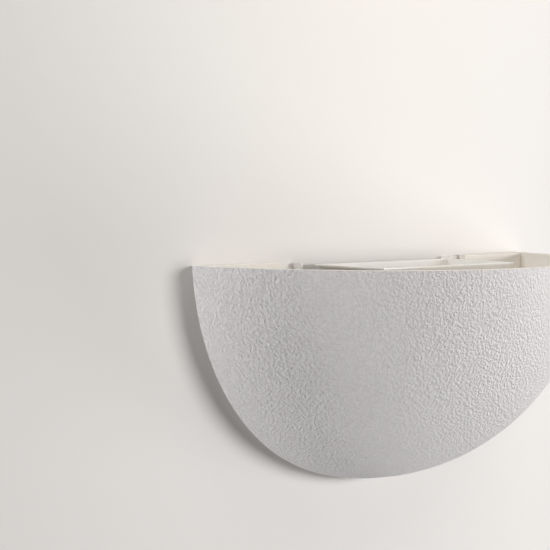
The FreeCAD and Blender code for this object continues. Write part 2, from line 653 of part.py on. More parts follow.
def make_tray():
    outside = trough("tray_outside", "0", "tray_under", "tray_top")
    inside = trough("tray_hollow", "tray_sheet", "tray_inside", "tray_top")
    hem = box("tray_hem", "0 - tray_length / 2 - tray_hem", "tray_length / 2 + tray_hem",
              "0 - lamp_y - tray_mouth / 2 - tray_hem", "tray_mouth / 2 + tray_hem - lamp_y",
              "tray_top - tray_sheet", "tray_top")
    holes = [inside]
    for word, side in SIDES.items():
        holes.append(rod("lead_hole_" + word, "z", "lead_hole / 2", "tray_sheet * 3",
                         f"{side} * lead_x", "0 - lamp_y", "tray_under - tray_sheet"))
        holes.append(rod("tray_screw_hole_" + word, "z", "small_stud / 2", "tray_sheet * 3",
                         f"{side} * arm_spacing / 2", "0 - lamp_y", "tray_under - tray_sheet"))
        holes.append(rod("holder_screw_hole_" + word, "z", "small_stud / 2", "tray_sheet * 3",
                         f"{side} * holder_screw_x", "0 - lamp_y", "tray_under - tray_sheet"))
    sharp = cut("tray_sharp", fuse("tray_blank", outside, hem), *holes)

    def bend_radius(edge):
        """The two long edges of the floor, inside and out."""
        long_enough = edge.BoundBox.XLength > got("tray_length") / 2
        if not long_enough or not same(edge.BoundBox.ZLength, 0):
            return 0
        if same(edge.BoundBox.ZMin, got("tray_inside")):
            return got("tray_bend")
        if same(edge.BoundBox.ZMin, got("tray_under")):
            return got("tray_bend") + got("tray_sheet")
        return 0

    return eased("Part::Fillet", "reflector_tray", sharp, bend_radius)


def make_tray_fixings():
    screws = []
    nuts = []
    bushes = []
    holder_screws = []
    for word, side in SIDES.items():
        x = f"{side} * arm_spacing / 2"
        reach = "tray_sheet + sheet + small_nut_height + stud_proud"
        shank = rod("tray_shank_" + word, "-z", "small_stud / 2", reach, x, "0 - lamp_y", "tray_inside")
        head = rod("tray_head_" + word, "z", "screw_head / 2", "screw_head_height", x, "0 - lamp_y",
                   "tray_inside")
        screws.append(fuse("tray_screw_" + word, shank, head))
        nuts.append(hex_nut("tray_nut_" + word, "-z", "small_nut_flats", "small_nut_height",
                            "small_stud", x, "0 - lamp_y", "tray_under - sheet"))
        x = f"{side} * holder_screw_x"
        shank = rod("holder_shank_" + word, "z", "small_stud / 2", "tray_sheet + holder_screw_grip", x,
                    "0 - lamp_y", "tray_under")
        head = rod("holder_head_" + word, "-z", "screw_head / 2", "screw_head_height", x, "0 - lamp_y",
                   "tray_under")
        holder_screws.append(fuse("holder_screw_" + word, shank, head))
        x = f"{side} * lead_x"
        lip = rod("lead_bush_lip_" + word, "-z", "lead_hole / 2 + lead_bush_wall / 2", "lead_bush_wall",
                  x, "0 - lamp_y", "tray_under")
        sleeve = rod("lead_bush_sleeve_" + word, "z", "lead_hole / 2", "tray_sheet", x, "0 - lamp_y",
                     "tray_under")
        bore = rod("lead_bush_bore_" + word, "z", "lead / 2", "tray_sheet * 4", x, "0 - lamp_y",
                   "tray_under - tray_sheet * 2")
        bushes.append(cut("lead_bush_" + word, fuse("lead_bush_blank_" + word, lip, sleeve), bore))
    finish(group("tray_screws", *screws), "tray_screws")
    finish(group("tray_nuts", *nuts), "tray_nuts")
    finish(group("holder_screws", *holder_screws), "holder_screws")
    finish(group("lead_bushes", *bushes), "lead_bushes")


# --- lamp holders -------------------------------------------------------------------------------
def make_holder(word, side):
    """A ceramic block with a round head, hollow for the spring, with a way down for the lead."""
    back = "0 - lamp_y - holder_width / 2"
    front = "holder_width / 2 - lamp_y"
    foot = side_box("holder_foot_" + word, side, "holder_front", "holder_back", back, front,
                    "tray_inside", "lamp_z")
    head = lamp_rod("holder_round_" + word, side, "holder_width / 2", "holder_front", "holder_back")
    mouth = lamp_rod("holder_mouth_" + word, side, "cap_diameter / 2 + holder_mouth_gap",
                     "holder_front", "holder_front + holder_mouth_depth")
    way = lamp_rod("holder_way_" + word, side, "plunger_shank / 2 + slide_gap", "holder_front",
                   "holder_back")
    chamber = lamp_rod("holder_chamber_" + word, side, "chamber_bore / 2", "chamber_front", "holder_back")
    drop = rod("holder_drop_" + word, "z", "lead / 2 + slide_gap", "lamp_z - tray_inside",
               f"{side} * lead_x", "0 - lamp_y", "tray_inside")
    groove = side_box("holder_groove_" + word, side, "lead_x", "holder_back + sheet",
                      "0 - lamp_y - lead / 2 - slide_gap", "lead / 2 + slide_gap - lamp_y",
                      "tray_inside", "lamp_z")
    screw = rod("holder_screw_way_" + word, "z", "small_stud / 2", "holder_screw_grip",
                f"{side} * holder_screw_x", "0 - lamp_y", "tray_inside")
    return cut("lamp_holder_" + word, fuse("holder_blank_" + word, foot, head), mouth, way, chamber,
               drop, groove, screw)


def make_contact_terminal(word, side):
    """A brass disc that closes the chamber; the lead's end sits in a hole in its underside."""
    disc = lamp_rod("seat_disc_" + word, side, "chamber_bore / 2", "seat_front", "holder_back")
    hole = rod("seat_hole_" + word, "-z", "lead / 2", "chamber_bore", f"{side} * lead_x", "0 - lamp_y",
               "lamp_z")
    return cut("contact_terminal_" + word, disc, hole)


def make_plunger(word, side):
    tip_end = "contact_face + plunger_taper"
    way = "x" if side > 0 else "-x"
    tip = cone("plunger_tip_" + word, way, "plunger_tip / 2", "plunger_shank / 2", "plunger_taper",
               f"{side} * contact_face", "0 - lamp_y", "lamp_z")
    shank = lamp_rod("plunger_shank_" + word, side, "plunger_shank / 2", tip_end, "collar_back")
    collar = lamp_rod("plunger_collar_" + word, side, "chamber_bore / 2 - 2 * slide_gap",
                      "collar_front", "collar_back")
    tail = lamp_rod("plunger_tail_" + word, side, "plunger_tail / 2", "collar_back",
                    "collar_back + plunger_tail_length")
    return fuse("contact_plunger_" + word, tip, shank, collar, tail)


WIRE_SIDES = 8


def wire_outline(radius, centre, way):
    """A closed outline of eight flats inside a circle, square to the wire's way."""
    turn = FreeCAD.Rotation(FreeCAD.Vector(0, 0, 1), way)
    points = []
    for index in range(WIRE_SIDES + 1):
        angle = 2 * math.pi * index / WIRE_SIDES
        arm = FreeCAD.Vector(radius * math.cos(angle), radius * math.sin(angle), 0)
        points.append(centre + turn.multVec(arm))
    return Part.makePolygon(points)


def arc_to(start, corner, end):
    """The arc from start to end whose tangents meet at the corner."""
    middle = (start + end) / 2
    half_chord = (end - start).Length / 2
    half_turn = math.atan2((corner - middle).Length, half_chord)
    outward = (corner - middle).normalize()
    top = middle + outward * (half_chord * math.tan(half_turn / 2))
    return Part.Arc(start, top, end).toShape()


def coil_path(radius, rise, turns):
    """A coil's middle line: each quarter turn is two arcs that meet in one tangent."""
    quarter = math.pi / 2
    steps = round(turns * 4)
    climb = rise / (steps * quarter)

    def at(step):
        angle = step * quarter
        return FreeCAD.Vector(radius * math.cos(angle), radius * math.sin(angle), climb * angle)

    def way(step):
        angle = step * quarter
        return FreeCAD.Vector(-radius * math.sin(angle), radius * math.cos(angle), climb).normalize()

    edges = []
    for step in range(steps):
        chord = at(step + 1) - at(step)
        bend = 2 * (1 - way(step).dot(way(step + 1)))
        lean = chord.dot(way(step) + way(step + 1))
        reach = (math.sqrt(lean ** 2 + bend * chord.dot(chord)) - lean) / bend
        first = at(step) + way(step) * reach
        second = at(step + 1) - way(step + 1) * reach
        join = (first + second) / 2
        edges.append(arc_to(at(step), first, join))
        edges.append(arc_to(join, second, at(step + 1)))
    return Part.Wire(edges)


def least_gap(path, turns, wire):
    """The least gap between a coil's turns, measured on points along its middle line."""
    a_turn = 24
    points = path.discretize(Number=turns * a_turn + 1)
    gaps = []
    for index, point in enumerate(points):
        for other in points[index + a_turn // 2:]:
            gaps.append((other - point).Length - wire)
    return min(gaps)


def make_spring(word, side):
    """A coil of round wire between the plunger's collar and the brass seat."""
    wire = got("spring_wire")
    turns = round(got("spring_turns"))
    coil = got("chamber_bore") / 2 - 3 * got("slide_gap") - wire / 2
    start = got("collar_back")
    path = coil_path(coil, got("seat_front") - start - wire, turns)
    first, second = path.discretize(Number=turns * 1000)[:2]
    profile = wire_outline(wire / 2, first, second - first)
    thing = doc.addObject("Part::Feature", "contact_spring_" + word)
    thing.Shape = path.makePipeShell([profile], True, False)
    turn = TURNS["x" if side > 0 else "-x"]
    place_on_axis = FreeCAD.Vector(side * (start + wire / 2), -got("lamp_y"), got("lamp_z"))
    thing.Placement = FreeCAD.Placement(place_on_axis, turn)
    print(f"contact_spring_{word}: least gap to itself {least_gap(path, turns, wire):.2f}")
    return thing


# --- lamp ---------------------------------------------------------------------------------------
def on_axis_box(name, side, near, far, width, thickness):
    """A flat bar on the lamp's axis, between two distances from the middle."""
    return side_box(name, side, near, far, f"0 - lamp_y - ({width}) / 2", f"({width}) / 2 - lamp_y",
                    f"lamp_z - ({thickness}) / 2", f"lamp_z + ({thickness}) / 2")


def drawn_end(name, side, radius_from, radius_to, near, far):
    """The end of the tube, drawn in towards the seal."""
    way = "x" if side > 0 else "-x"
    return cone(name, way, radius_from, radius_to, f"({far}) - ({near})", f"{side} * ({near})",
                "0 - lamp_y", "lamp_z")


def make_lamp():
    outer = "glass_diameter / 2"
    inner = "glass_diameter / 2 - glass_wall"
    straight = "glass_end - glass_draw"
    solid = [rod("glass_body", "x", outer, f"2 * ({straight})", f"0 - ({straight})", "0 - lamp_y", "lamp_z")]
    hollow = [rod("glass_hollow", "x", inner, f"2 * ({straight})", f"0 - ({straight})", "0 - lamp_y",
                  "lamp_z")]
    for word, side in SIDES.items():
        solid.append(drawn_end("glass_end_" + word, side, outer, "pinch_width / 2", straight, "glass_end"))
        solid.append(on_axis_box("glass_pinch_" + word, side, "glass_end",
                                 "cap_start + pinch_in_cap", "pinch_width", "pinch_thickness"))
        hollow.append(drawn_end("glass_end_hollow_" + word, side, inner, "filament_coil", straight,
                                "glass_end - glass_wall"))
    solid.append(cone("glass_tip", "z", "glass_tip", "glass_tip / 2", "glass_wall / 2 + glass_tip_rise",
                      "support_spacing / 2", "0 - lamp_y",
                      "lamp_z + glass_diameter / 2 - glass_wall / 2"))
    finish(cut("lamp_tube", fuse("glass_blank", *solid), fuse("glass_inside", *hollow)), "lamp_tube")
    coil_end = "glass_end - glass_wall - filament_leg_length"
    parts = [rod("filament_rod", "x", "filament_coil / 2", f"2 * ({coil_end})", f"0 - ({coil_end})",
                 "0 - lamp_y", "lamp_z")]
    for word, side in SIDES.items():
        parts.append(lamp_rod("filament_leg_" + word, side, "filament_leg / 2", coil_end,
                              f"{coil_end} + filament_leg_length"))
    finish(fuse("lamp_filament", *parts), "lamp_filament")
    rings = []
    for word, step in POLES.items():
        ring = rod("support_disc_" + word, "x", inner, "support_wire", f"{step} * support_spacing",
                   "0 - lamp_y", "lamp_z")
        gap = rod("support_gap_" + word, "x", f"{inner} - support_wire", "support_wire",
                  f"{step} * support_spacing", "0 - lamp_y", "lamp_z")
        spoke = box("support_spoke_" + word, f"{step} * support_spacing",
                    f"{step} * support_spacing + support_wire", "0 - lamp_y - support_wire / 2",
                    "support_wire / 2 - lamp_y", f"lamp_z - ({inner}) + support_wire / 2",
                    "lamp_z - filament_coil / 2")
        rings.append(fuse("support_" + word, cut("support_ring_" + word, ring, gap), spoke))
    finish(group("filament_supports", *rings), "filament_supports")
    for word, side in SIDES.items():
        cap = lamp_rod("cap_solid_" + word, side, "cap_diameter / 2", "cap_start", "cap_end")
        pinch = on_axis_box("cap_pinch_way_" + word, side, "cap_start", "cap_start + pinch_in_cap",
                            "pinch_width", "pinch_thickness")
        recess = lamp_rod("cap_recess_" + word, side, "cap_recess / 2", "contact_face", "cap_end")
        seat = lamp_rod("cap_seat_" + word, side, "lamp_contact / 2", "contact_face - lamp_contact_sheet",
                        "contact_face")
        finish(cut("lamp_cap_" + word, cap, pinch, recess, seat), "lamp_cap_" + word)
        disc = lamp_rod("lamp_contact_" + word, side, "lamp_contact / 2",
                        "contact_face - lamp_contact_sheet", "contact_face")
        finish(disc, "lamp_contact_" + word)


# --- leads --------------------------------------------------------------------------------------
def lead_tube(name, points):
    """A lead along straight runs joined by tangent arcs, each as large as its runs allow."""
    share = 0.45
    route = [FreeCAD.Vector(*point) for point in points]
    edges = []
    radii = []
    start = route[0]
    length = 0
    for before, corner, after in zip(route, route[1:], route[2:]):
        way_in = (corner - before).normalize()
        way_out = (after - corner).normalize()
        turn = way_in.getAngle(way_out)
        run = min((corner - before).Length, (after - corner).Length) * share
        radius = run / math.tan(turn / 2)
        arc_start = corner - way_in * run
        arc_end = corner + way_out * run
        inward = (way_out - way_in).normalize()
        arc_middle = corner + inward * (radius / math.cos(turn / 2) - radius)
        edges.append(Part.LineSegment(start, arc_start).toShape())
        edges.append(Part.Arc(arc_start, arc_middle, arc_end).toShape())
        length += (arc_start - start).Length + radius * turn
        radii.append(round(radius, 1))
        start = arc_end
    edges.append(Part.LineSegment(start, route[-1]).toShape())
    length += (route[-1] - start).Length
    profile = wire_outline(got("lead") / 2, route[0], route[1] - route[0])
    shape = Part.Wire(edges).makePipeShell([profile], True, False)
    thing = doc.addObject("Part::Feature", name)
    thing.Shape = shape
    share_of_volume = shape.Volume / (Part.Face(profile).Area * length)
    print(f"{name}: length {length:.1f}, bend radii {radii}, volume share {share_of_volume:.4f}")
    return thing


def make_leads():
    pole_y = -got("pole_y")
    pole_end = got("block_top") - got("lead_in_pole")
    low = got("tray_under") - got("lead_drop")
    lamp_y = -got("lamp_y")
    for name, side in (("live_lead", -1), ("neutral_lead", 1)):
        x = side * got("lead_x")
        pole_x = side * got("pole_pitch")
        points = [
            (x, lamp_y, got("lamp_z")),
            (x, lamp_y, low),
            ((x + pole_x) / 2, (lamp_y + pole_y) / 2, low - got("lead")),
            (pole_x, pole_y, low - got("lead")),
            (pole_x, pole_y, pole_end),
        ]
        finish(lead_tube(name, points), name)
    tag_y = -got("sheet") - got("washer_sheet") - got("tag_barrel") / 2
    tag_end = got("block_z") + got("washer_width") / 2 + 2 * got("stud_proud")
    points = [
        (0, pole_y, pole_end),
        (0, pole_y, got("earth_loop")),
        (got("earth_x"), tag_y, got("earth_loop")),
        (got("earth_x"), tag_y, tag_end),
    ]
    finish(lead_tube("earth_lead", points), "earth_lead")


# --- the whole object ---------------------------------------------------------------------------
finish(make_shell(), "shell")
finish(make_bracket(), "wall_bracket")
finish(make_cable_bush(), "cable_bush")
make_terminals()
make_earth_point()
finish(make_tray(), "reflector_tray")
make_tray_fixings()
for word, side in SIDES.items():
    finish(make_holder(word, side), "lamp_holder_" + word)
    finish(make_contact_terminal(word, side), "contact_terminal_" + word)
    finish(make_plunger(word, side), "contact_plunger_" + word)
    finish(make_spring(word, side), "contact_spring_" + word)
make_lamp()
make_leads()

doc.recompute()
for thing in doc.Objects:
    for state in thing.State:
        if state in ("Invalid", "Error"):
            raise RuntimeError(f"{thing.Name} is {state}")
for node in nodes:
    if node.Shape.isNull() or not node.Shape.isValid():
        raise RuntimeError(f"{node.Label} has no sound shape")

os.makedirs("parts", exist_ok=True)
for node in nodes:
    node.Shape.exportStep(f"parts/{node.Label}.step")
    print(f"{node.Label}: {len(node.Shape.Solids)} solids, {node.Shape.Volume:.1f} mm3")
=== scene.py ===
# %% [markdown]
# # A half-bowl uplighter, dressed for the camera
# The CAD model holds this wall light's construction: a cast bowl that hangs on a sheet steel bracket,
# a reflector tray, and one double-ended lamp between two sprung contacts. Here each piece gets the form
# and the finish that the eye expects. The CAD model is loaded as a fixed frame, and nothing in it moves:
# a finer piece is built in the same place, in metres, and then stands for the CAD piece.

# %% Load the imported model
import json
import math

import bmesh
import bpy
from mathutils import Matrix, Vector, noise


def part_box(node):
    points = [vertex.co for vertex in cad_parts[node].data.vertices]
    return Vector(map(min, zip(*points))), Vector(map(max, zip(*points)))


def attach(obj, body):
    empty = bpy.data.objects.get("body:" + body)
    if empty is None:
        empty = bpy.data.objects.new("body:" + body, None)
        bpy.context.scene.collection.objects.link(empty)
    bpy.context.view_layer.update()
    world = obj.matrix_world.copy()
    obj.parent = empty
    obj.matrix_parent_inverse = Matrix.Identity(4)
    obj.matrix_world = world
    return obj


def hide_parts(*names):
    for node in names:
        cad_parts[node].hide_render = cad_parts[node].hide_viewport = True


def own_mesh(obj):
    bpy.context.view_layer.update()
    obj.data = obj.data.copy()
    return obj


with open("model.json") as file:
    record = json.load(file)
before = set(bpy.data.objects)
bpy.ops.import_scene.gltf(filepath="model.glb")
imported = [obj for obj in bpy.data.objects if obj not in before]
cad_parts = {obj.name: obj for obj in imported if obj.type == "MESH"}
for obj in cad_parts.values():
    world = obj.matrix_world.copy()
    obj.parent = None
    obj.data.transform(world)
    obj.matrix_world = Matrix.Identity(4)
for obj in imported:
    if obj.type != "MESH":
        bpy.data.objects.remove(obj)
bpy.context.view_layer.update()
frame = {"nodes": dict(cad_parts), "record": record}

MM = 0.001
nodes = frame["nodes"]

# %% [markdown]
# ## The camera
# The photograph was taken with a long lens from the left, a little above the rim. A camera is easiest to
# place by where it stands and which way it looks, so its three axes are worked out from a yaw, a pitch
# and a roll. A long lens far away keeps the oval of the bowl from looking stretched.

# %% The camera of the photograph
EYE = Vector((-1.0259, -0.8588, 0.1155))
YAW = math.radians(47.68)
PITCH = math.radians(-3.35)
ROLL = math.radians(0.87)
LENS = 147.56
SENSOR = 36

forward = Vector((math.sin(YAW) * math.cos(PITCH), math.cos(YAW) * math.cos(PITCH), math.sin(PITCH)))
level = Vector((math.cos(YAW), -math.sin(YAW), 0))
upright = level.cross(forward)
right = level * math.cos(ROLL) + upright * math.sin(ROLL)
up = upright * math.cos(ROLL) - level * math.sin(ROLL)

camera_data = bpy.data.cameras.new("camera")
camera_data.lens = LENS
camera_data.sensor_width = SENSOR
camera_data.clip_start = 0.05
camera_data.clip_end = 50
camera = bpy.data.objects.new("camera", camera_data)
camera.matrix_world = Matrix.Translation(EYE) @ Matrix((right, up, -forward)).transposed().to_4x4()
bpy.context.scene.collection.objects.link(camera)
bpy.context.scene.camera = camera
print("camera looks along", [round(value, 3) for value in forward])

# %% [markdown]
# ## Building blocks for materials
# Every finish here is a node material, so it needs no picture. A few short helpers keep the cells
# readable: one makes a material with its Principled shader, one adds a node, and one joins two sockets.
# Values that are the same all over a surface are typed straight into the shader's own sockets.


# %% Helpers for node materials
def add_node(tree, kind, **settings):
    """Adds a node; each setting is the value of the socket, or else of the property, of that name."""
    node = tree.nodes.new(kind)
    for name, value in settings.items():
        if name in node.inputs:
            node.inputs[name].default_value = value
        else:
            setattr(node, name, value)
    return node


def join(tree, source, target):
    """Links an output socket to an input socket."""
    tree.links.new(source, target)


def new_material(name, roughness, metallic=0.0, **shader_values):
    """A material with one Principled shader; returns it with its tree, shader and object coordinates."""
    material = bpy.data.materials.new(name)
    material.use_nodes = True
    tree = material.node_tree
    shader = tree.nodes["Principled BSDF"]
    shader.inputs["Roughness"].default_value = roughness
    shader.inputs["Metallic"].default_value = metallic
    for socket, value in shader_values.items():
        shader.inputs[socket.replace("_", " ")].default_value = value
    place = add_node(tree, "ShaderNodeTexCoord")
    return material, tree, shader, place.outputs["Object"]


def new_group(name, inputs, outputs):
    """A shader node group with named sockets; returns the group, its input node and its output node."""
    group = bpy.data.node_groups.new(name, "ShaderNodeTree")
    for label, kind, value in inputs:
        socket = group.interface.new_socket(name=label, in_out="INPUT", socket_type="NodeSocket" + kind)
        if value is not None:
            socket.default_value = value
    for label, kind in outputs:
        group.interface.new_socket(name=label, in_out="OUTPUT", socket_type="NodeSocket" + kind)
    return group, group.nodes.new("NodeGroupInput"), group.nodes.new("NodeGroupOutput")


def use_group(tree, group, point, **values):
    """Places a group in a material and feeds it the piece's own coordinates."""
    node = tree.nodes.new("ShaderNodeGroup")
    node.node_tree = group
    join(tree, point, node.inputs["Point"])
    for name, value in values.items():
        node.inputs[name.replace("_", " ")].default_value = value
    return node


def relief(tree, shader, height, depth):
    """A Bump node that turns a height, in metres when multiplied by depth, into a tilted normal."""
    bump = add_node(tree, "ShaderNodeBump", Strength=1.0, Distance=depth)
    join(tree, height, bump.inputs["Height"])
    join(tree, bump.outputs["Normal"], shader.inputs["Normal"])


print("material helpers ready")

# %% [markdown]
# ## Three effects that several finishes share
# Real surfaces are never one even colour. *Mottle* drifts slowly between two tones, as glaze, enamel and
# plating do. *Grain* gives a fine uneven height, for cast and moulded faces. *Sandy coat* is the
# pebbled relief of the bowl: rounded grains of about two millimetres with finer ones between them. It
# also says where the hollows are, so that painted shade can make the coat a little darker there.


# %% Shared node groups
WORM_SHARE = 0.55
SAND_FINENESS = 2.7


def mottle_group():
    """Two tones that drift into each other over a given size."""
    group, given, made = new_group("mottle", [
        ("Point", "Vector", None), ("Size", "Float", 0.02),
        ("Light", "Color", (1, 1, 1, 1)), ("Dark", "Color", (0.5, 0.5, 0.5, 1)),
    ], [("Color", "Color")])
    scale = add_node(group, "ShaderNodeMath", operation="DIVIDE")
    scale.inputs[0].default_value = 1
    join(group, given.outputs["Size"], scale.inputs[1])
    drift = add_node(group, "ShaderNodeTexNoise", Detail=4, Roughness=0.6)
    join(group, given.outputs["Point"], drift.inputs["Vector"])
    join(group, scale.outputs[0], drift.inputs["Scale"])
    spread = add_node(group, "ShaderNodeMapRange", interpolation_type="SMOOTHSTEP")
    spread.inputs["From Min"].default_value = 0.3
    spread.inputs["From Max"].default_value = 0.7
    join(group, drift.outputs["Fac"], spread.inputs["Value"])
    blend = add_node(group, "ShaderNodeMix", data_type="RGBA")
    join(group, spread.outputs["Result"], blend.inputs[0])
    join(group, given.outputs["Dark"], blend.inputs[6])
    join(group, given.outputs["Light"], blend.inputs[7])
    join(group, blend.outputs[2], made.inputs["Color"])
    return group


def grain_group():
    """A fine uneven height of a given grain size."""
    group, given, made = new_group("grain", [
        ("Point", "Vector", None), ("Size", "Float", 0.001),
    ], [("Height", "Float")])
    scale = add_node(group, "ShaderNodeMath", operation="DIVIDE")
    scale.inputs[0].default_value = 1
    join(group, given.outputs["Size"], scale.inputs[1])
    fine = add_node(group, "ShaderNodeTexNoise", Detail=3, Roughness=0.65)
    join(group, given.outputs["Point"], fine.inputs["Vector"])
    join(group, scale.outputs[0], fine.inputs["Scale"])
    join(group, fine.outputs["Fac"], made.inputs["Height"])
    return group


def sandy_group():
    """Rounded grains, bent into short worms, with finer sand between them; also gives the hollows' mask for
    painted shade.
    """
    group, given, made = new_group("sandy coat", [
        ("Point", "Vector", None), ("Grain", "Float", 0.0024), ("Fine share", "Float", 0.35),
    ], [("Height", "Float"), ("Hollow shade", "Float")])
    scale = add_node(group, "ShaderNodeMath", operation="DIVIDE")
    scale.inputs[0].default_value = 1
    join(group, given.outputs["Grain"], scale.inputs[1])
    bend = add_node(group, "ShaderNodeTexNoise", Detail=1)
    join(group, given.outputs["Point"], bend.inputs["Vector"])
    join(group, scale.outputs[0], bend.inputs["Scale"])
    pebbles = add_node(group, "ShaderNodeTexVoronoi", feature="SMOOTH_F1", Smoothness=0.7, Randomness=1)
    join(group, given.outputs["Point"], pebbles.inputs["Vector"])
    join(group, scale.outputs[0], pebbles.inputs["Scale"])
    rounded = add_node(group, "ShaderNodeMapRange", interpolation_type="SMOOTHSTEP")
    rounded.inputs["From Min"].default_value = 0.75
    rounded.inputs["From Max"].default_value = 0.1
    join(group, pebbles.outputs["Distance"], rounded.inputs["Value"])
    finer = add_node(group, "ShaderNodeMath", operation="MULTIPLY")
    finer.inputs[1].default_value = SAND_FINENESS
    join(group, scale.outputs[0], finer.inputs[0])
    sand = add_node(group, "ShaderNodeTexNoise", Detail=2, Roughness=0.6)
    join(group, given.outputs["Point"], sand.inputs["Vector"])
    join(group, finer.outputs[0], sand.inputs["Scale"])
    worms = add_node(group, "ShaderNodeMix", data_type="FLOAT")
    worms.inputs[0].default_value = WORM_SHARE
    join(group, rounded.outputs["Result"], worms.inputs[2])
    join(group, bend.outputs["Fac"], worms.inputs[3])
    whole = add_node(group, "ShaderNodeMix", data_type="FLOAT")
    join(group, given.outputs["Fine share"], whole.inputs[0])
    join(group, worms.outputs[0], whole.inputs[2])
    join(group, sand.outputs["Fac"], whole.inputs[3])
    join(group, whole.outputs[0], made.inputs["Height"])
    # The hollows' mask: where the coat is low, painted shade darkens it.
    hollow = add_node(group, "ShaderNodeMapRange", interpolation_type="SMOOTHSTEP")
    hollow.inputs["From Min"].default_value = 0.62
    hollow.inputs["From Max"].default_value = 0.3
    join(group, whole.outputs[0], hollow.inputs["Value"])
    join(group, hollow.outputs["Result"], made.inputs["Hollow shade"])
    return group


MOTTLE = mottle_group()
GRAIN = grain_group()
SANDY = sandy_group()
print("groups:", MOTTLE.name, GRAIN.name, SANDY.name)

# %% [markdown]
# ## The finishes
# Each finish names what the real piece is made of. The helper below covers what most of them need: two
# close tones that drift into each other, a roughness, and a fine relief.


# %% Finishes
SAND_GRAIN = 1.7 * MM
SAND_BUMP = 2.4 * MM
COAT_TOPS = (0.90, 0.868, 0.868, 1)
# The coat's second colour, for its hollows, is painted shade between the grains.
COAT_HOLLOW_SHADE = (0.84, 0.80, 0.795, 1)


def plain_finish(name, light, dark, roughness, drift=0.02, grain=0.0008, depth=0.00002, metallic=0.0, **more):
    """A finish with two tones that drift and a fine grain."""
    material, tree, shader, point = new_material(name, roughness, metallic, **more)
    mottle = use_group(tree, MOTTLE, point, Size=drift, Light=(*light, 1), Dark=(*dark, 1))
    join(tree, mottle.outputs["Color"], shader.inputs["Base Color"])
    fine = use_group(tree, GRAIN, point, Size=grain)
    relief(tree, shader, fine.outputs["Height"], depth)
    return material


def sandy_finish():
    """The bowl's outside: a pale sandy coat, with painted shade darkening its hollows."""
    material, tree, shader, point = new_material("sandy_coat", 0.85)
    coat = use_group(tree, SANDY, point, Grain=SAND_GRAIN, Fine_share=0.5)
    blend = add_node(tree, "ShaderNodeMix", data_type="RGBA")
    join(tree, coat.outputs["Hollow shade"], blend.inputs[0])
    blend.inputs[6].default_value = COAT_TOPS
    blend.inputs[7].default_value = COAT_HOLLOW_SHADE
    join(tree, blend.outputs[2], shader.inputs["Base Color"])
    relief(tree, shader, coat.outputs["Height"], SAND_BUMP)
    return material


FINISHES = {
    # The plaster is white; its cream tone here is painted warm lamp light.
    "bowl_plaster": plain_finish("plaster_with_painted_warm_light", (0.90, 0.86, 0.80), (0.87, 0.82, 0.75), 0.8,
                                 drift=0.03, grain=0.0015, depth=0.00012),
    "bracket_steel": plain_finish("white_powder_coat", (0.80, 0.775, 0.74), (0.76, 0.73, 0.69), 0.42,
                                  drift=0.02, grain=0.0007, depth=0.00006),
    "bush_rubber": plain_finish("black_rubber", (0.035, 0.035, 0.036), (0.022, 0.022, 0.024), 0.6),
    "block_porcelain": plain_finish("glazed_porcelain", (0.84, 0.81, 0.74), (0.79, 0.75, 0.67), 0.18,
                                    drift=0.01, grain=0.0009, depth=0.00002),
    "brass": plain_finish("brass", (0.78, 0.58, 0.26), (0.62, 0.43, 0.17), 0.34, drift=0.006,
                          grain=0.0003, depth=0.000006, metallic=1.0),
    "plated_steel": plain_finish("plated_steel", (0.70, 0.70, 0.69), (0.55, 0.55, 0.55), 0.3,
                                 drift=0.004, grain=0.0003, depth=0.000005, metallic=1.0),
    "tray_enamel": plain_finish("white_enamel", (0.88, 0.865, 0.83), (0.84, 0.82, 0.775), 0.3,
                                drift=0.02, grain=0.0016, depth=0.00003),
    "holder_ceramic": plain_finish("steatite", (0.80, 0.75, 0.65), (0.74, 0.68, 0.57), 0.55,
                                   drift=0.008, grain=0.0005, depth=0.00003),
    "contact_brass": plain_finish("silvered_brass", (0.75, 0.69, 0.55), (0.60, 0.52, 0.38), 0.32,
                                  drift=0.004, grain=0.0003, depth=0.000004, metallic=1.0),
    "spring_steel": plain_finish("spring_steel", (0.56, 0.56, 0.55), (0.42, 0.42, 0.42), 0.3,
                                 drift=0.004, grain=0.0002, depth=0.000003, metallic=1.0),
    "tungsten": plain_finish("tungsten", (0.42, 0.40, 0.38), (0.30, 0.28, 0.27), 0.4,
                             drift=0.004, grain=0.0002, depth=0.000003, metallic=1.0),
    "cap_ceramic": plain_finish("lamp_ceramic", (0.86, 0.84, 0.80), (0.81, 0.78, 0.72), 0.5,
                                drift=0.006, grain=0.0005, depth=0.00002),
    "lead_sleeve_brown": plain_finish("brown_sleeve", (0.16, 0.062, 0.028), (0.11, 0.04, 0.018), 0.5),
    "lead_sleeve_blue": plain_finish("blue_sleeve", (0.03, 0.12, 0.42), (0.02, 0.08, 0.30), 0.5),
    "lead_sleeve_earth": plain_finish("green_sleeve", (0.07, 0.26, 0.05), (0.05, 0.19, 0.03), 0.5),
    "quartz": plain_finish("quartz_glass", (0.97, 0.97, 0.96), (0.95, 0.95, 0.94), 0.03,
                           drift=0.03, grain=0.004, depth=0.00001, Transmission_Weight=1.0, IOR=1.46),
}
SANDY_COAT = sandy_finish()
BOWL_FINISHES = (SANDY_COAT, FINISHES["bowl_plaster"])
print("finishes:", len(FINISHES) + 1)

# %% [markdown]
# ## Dress the CAD pieces
# Each CAD piece names its material slot in the record. It takes the finish of that slot, so that nothing
# is left bare while the finer pieces are built one by one.

# %% Give each CAD piece its finish
slot_of = {}
for subpart in frame["record"]["subparts"]:
    slot_of[subpart["node"]] = subpart["material_slot"]
for name, thing in nodes.items():
    thing.data.materials.clear()
    thing.data.materials.append(FINISHES[slot_of[name]])
print("dressed", len(nodes), "CAD pieces")

# %% [markdown]
# ## From a bmesh to a piece
# A bmesh is Blender's editable mesh. Each piece is shaped as one, turned into an object at the origin,
# and set to ride on the body that carries it, so that it follows when the bowl is lifted or a contact
# is pressed.


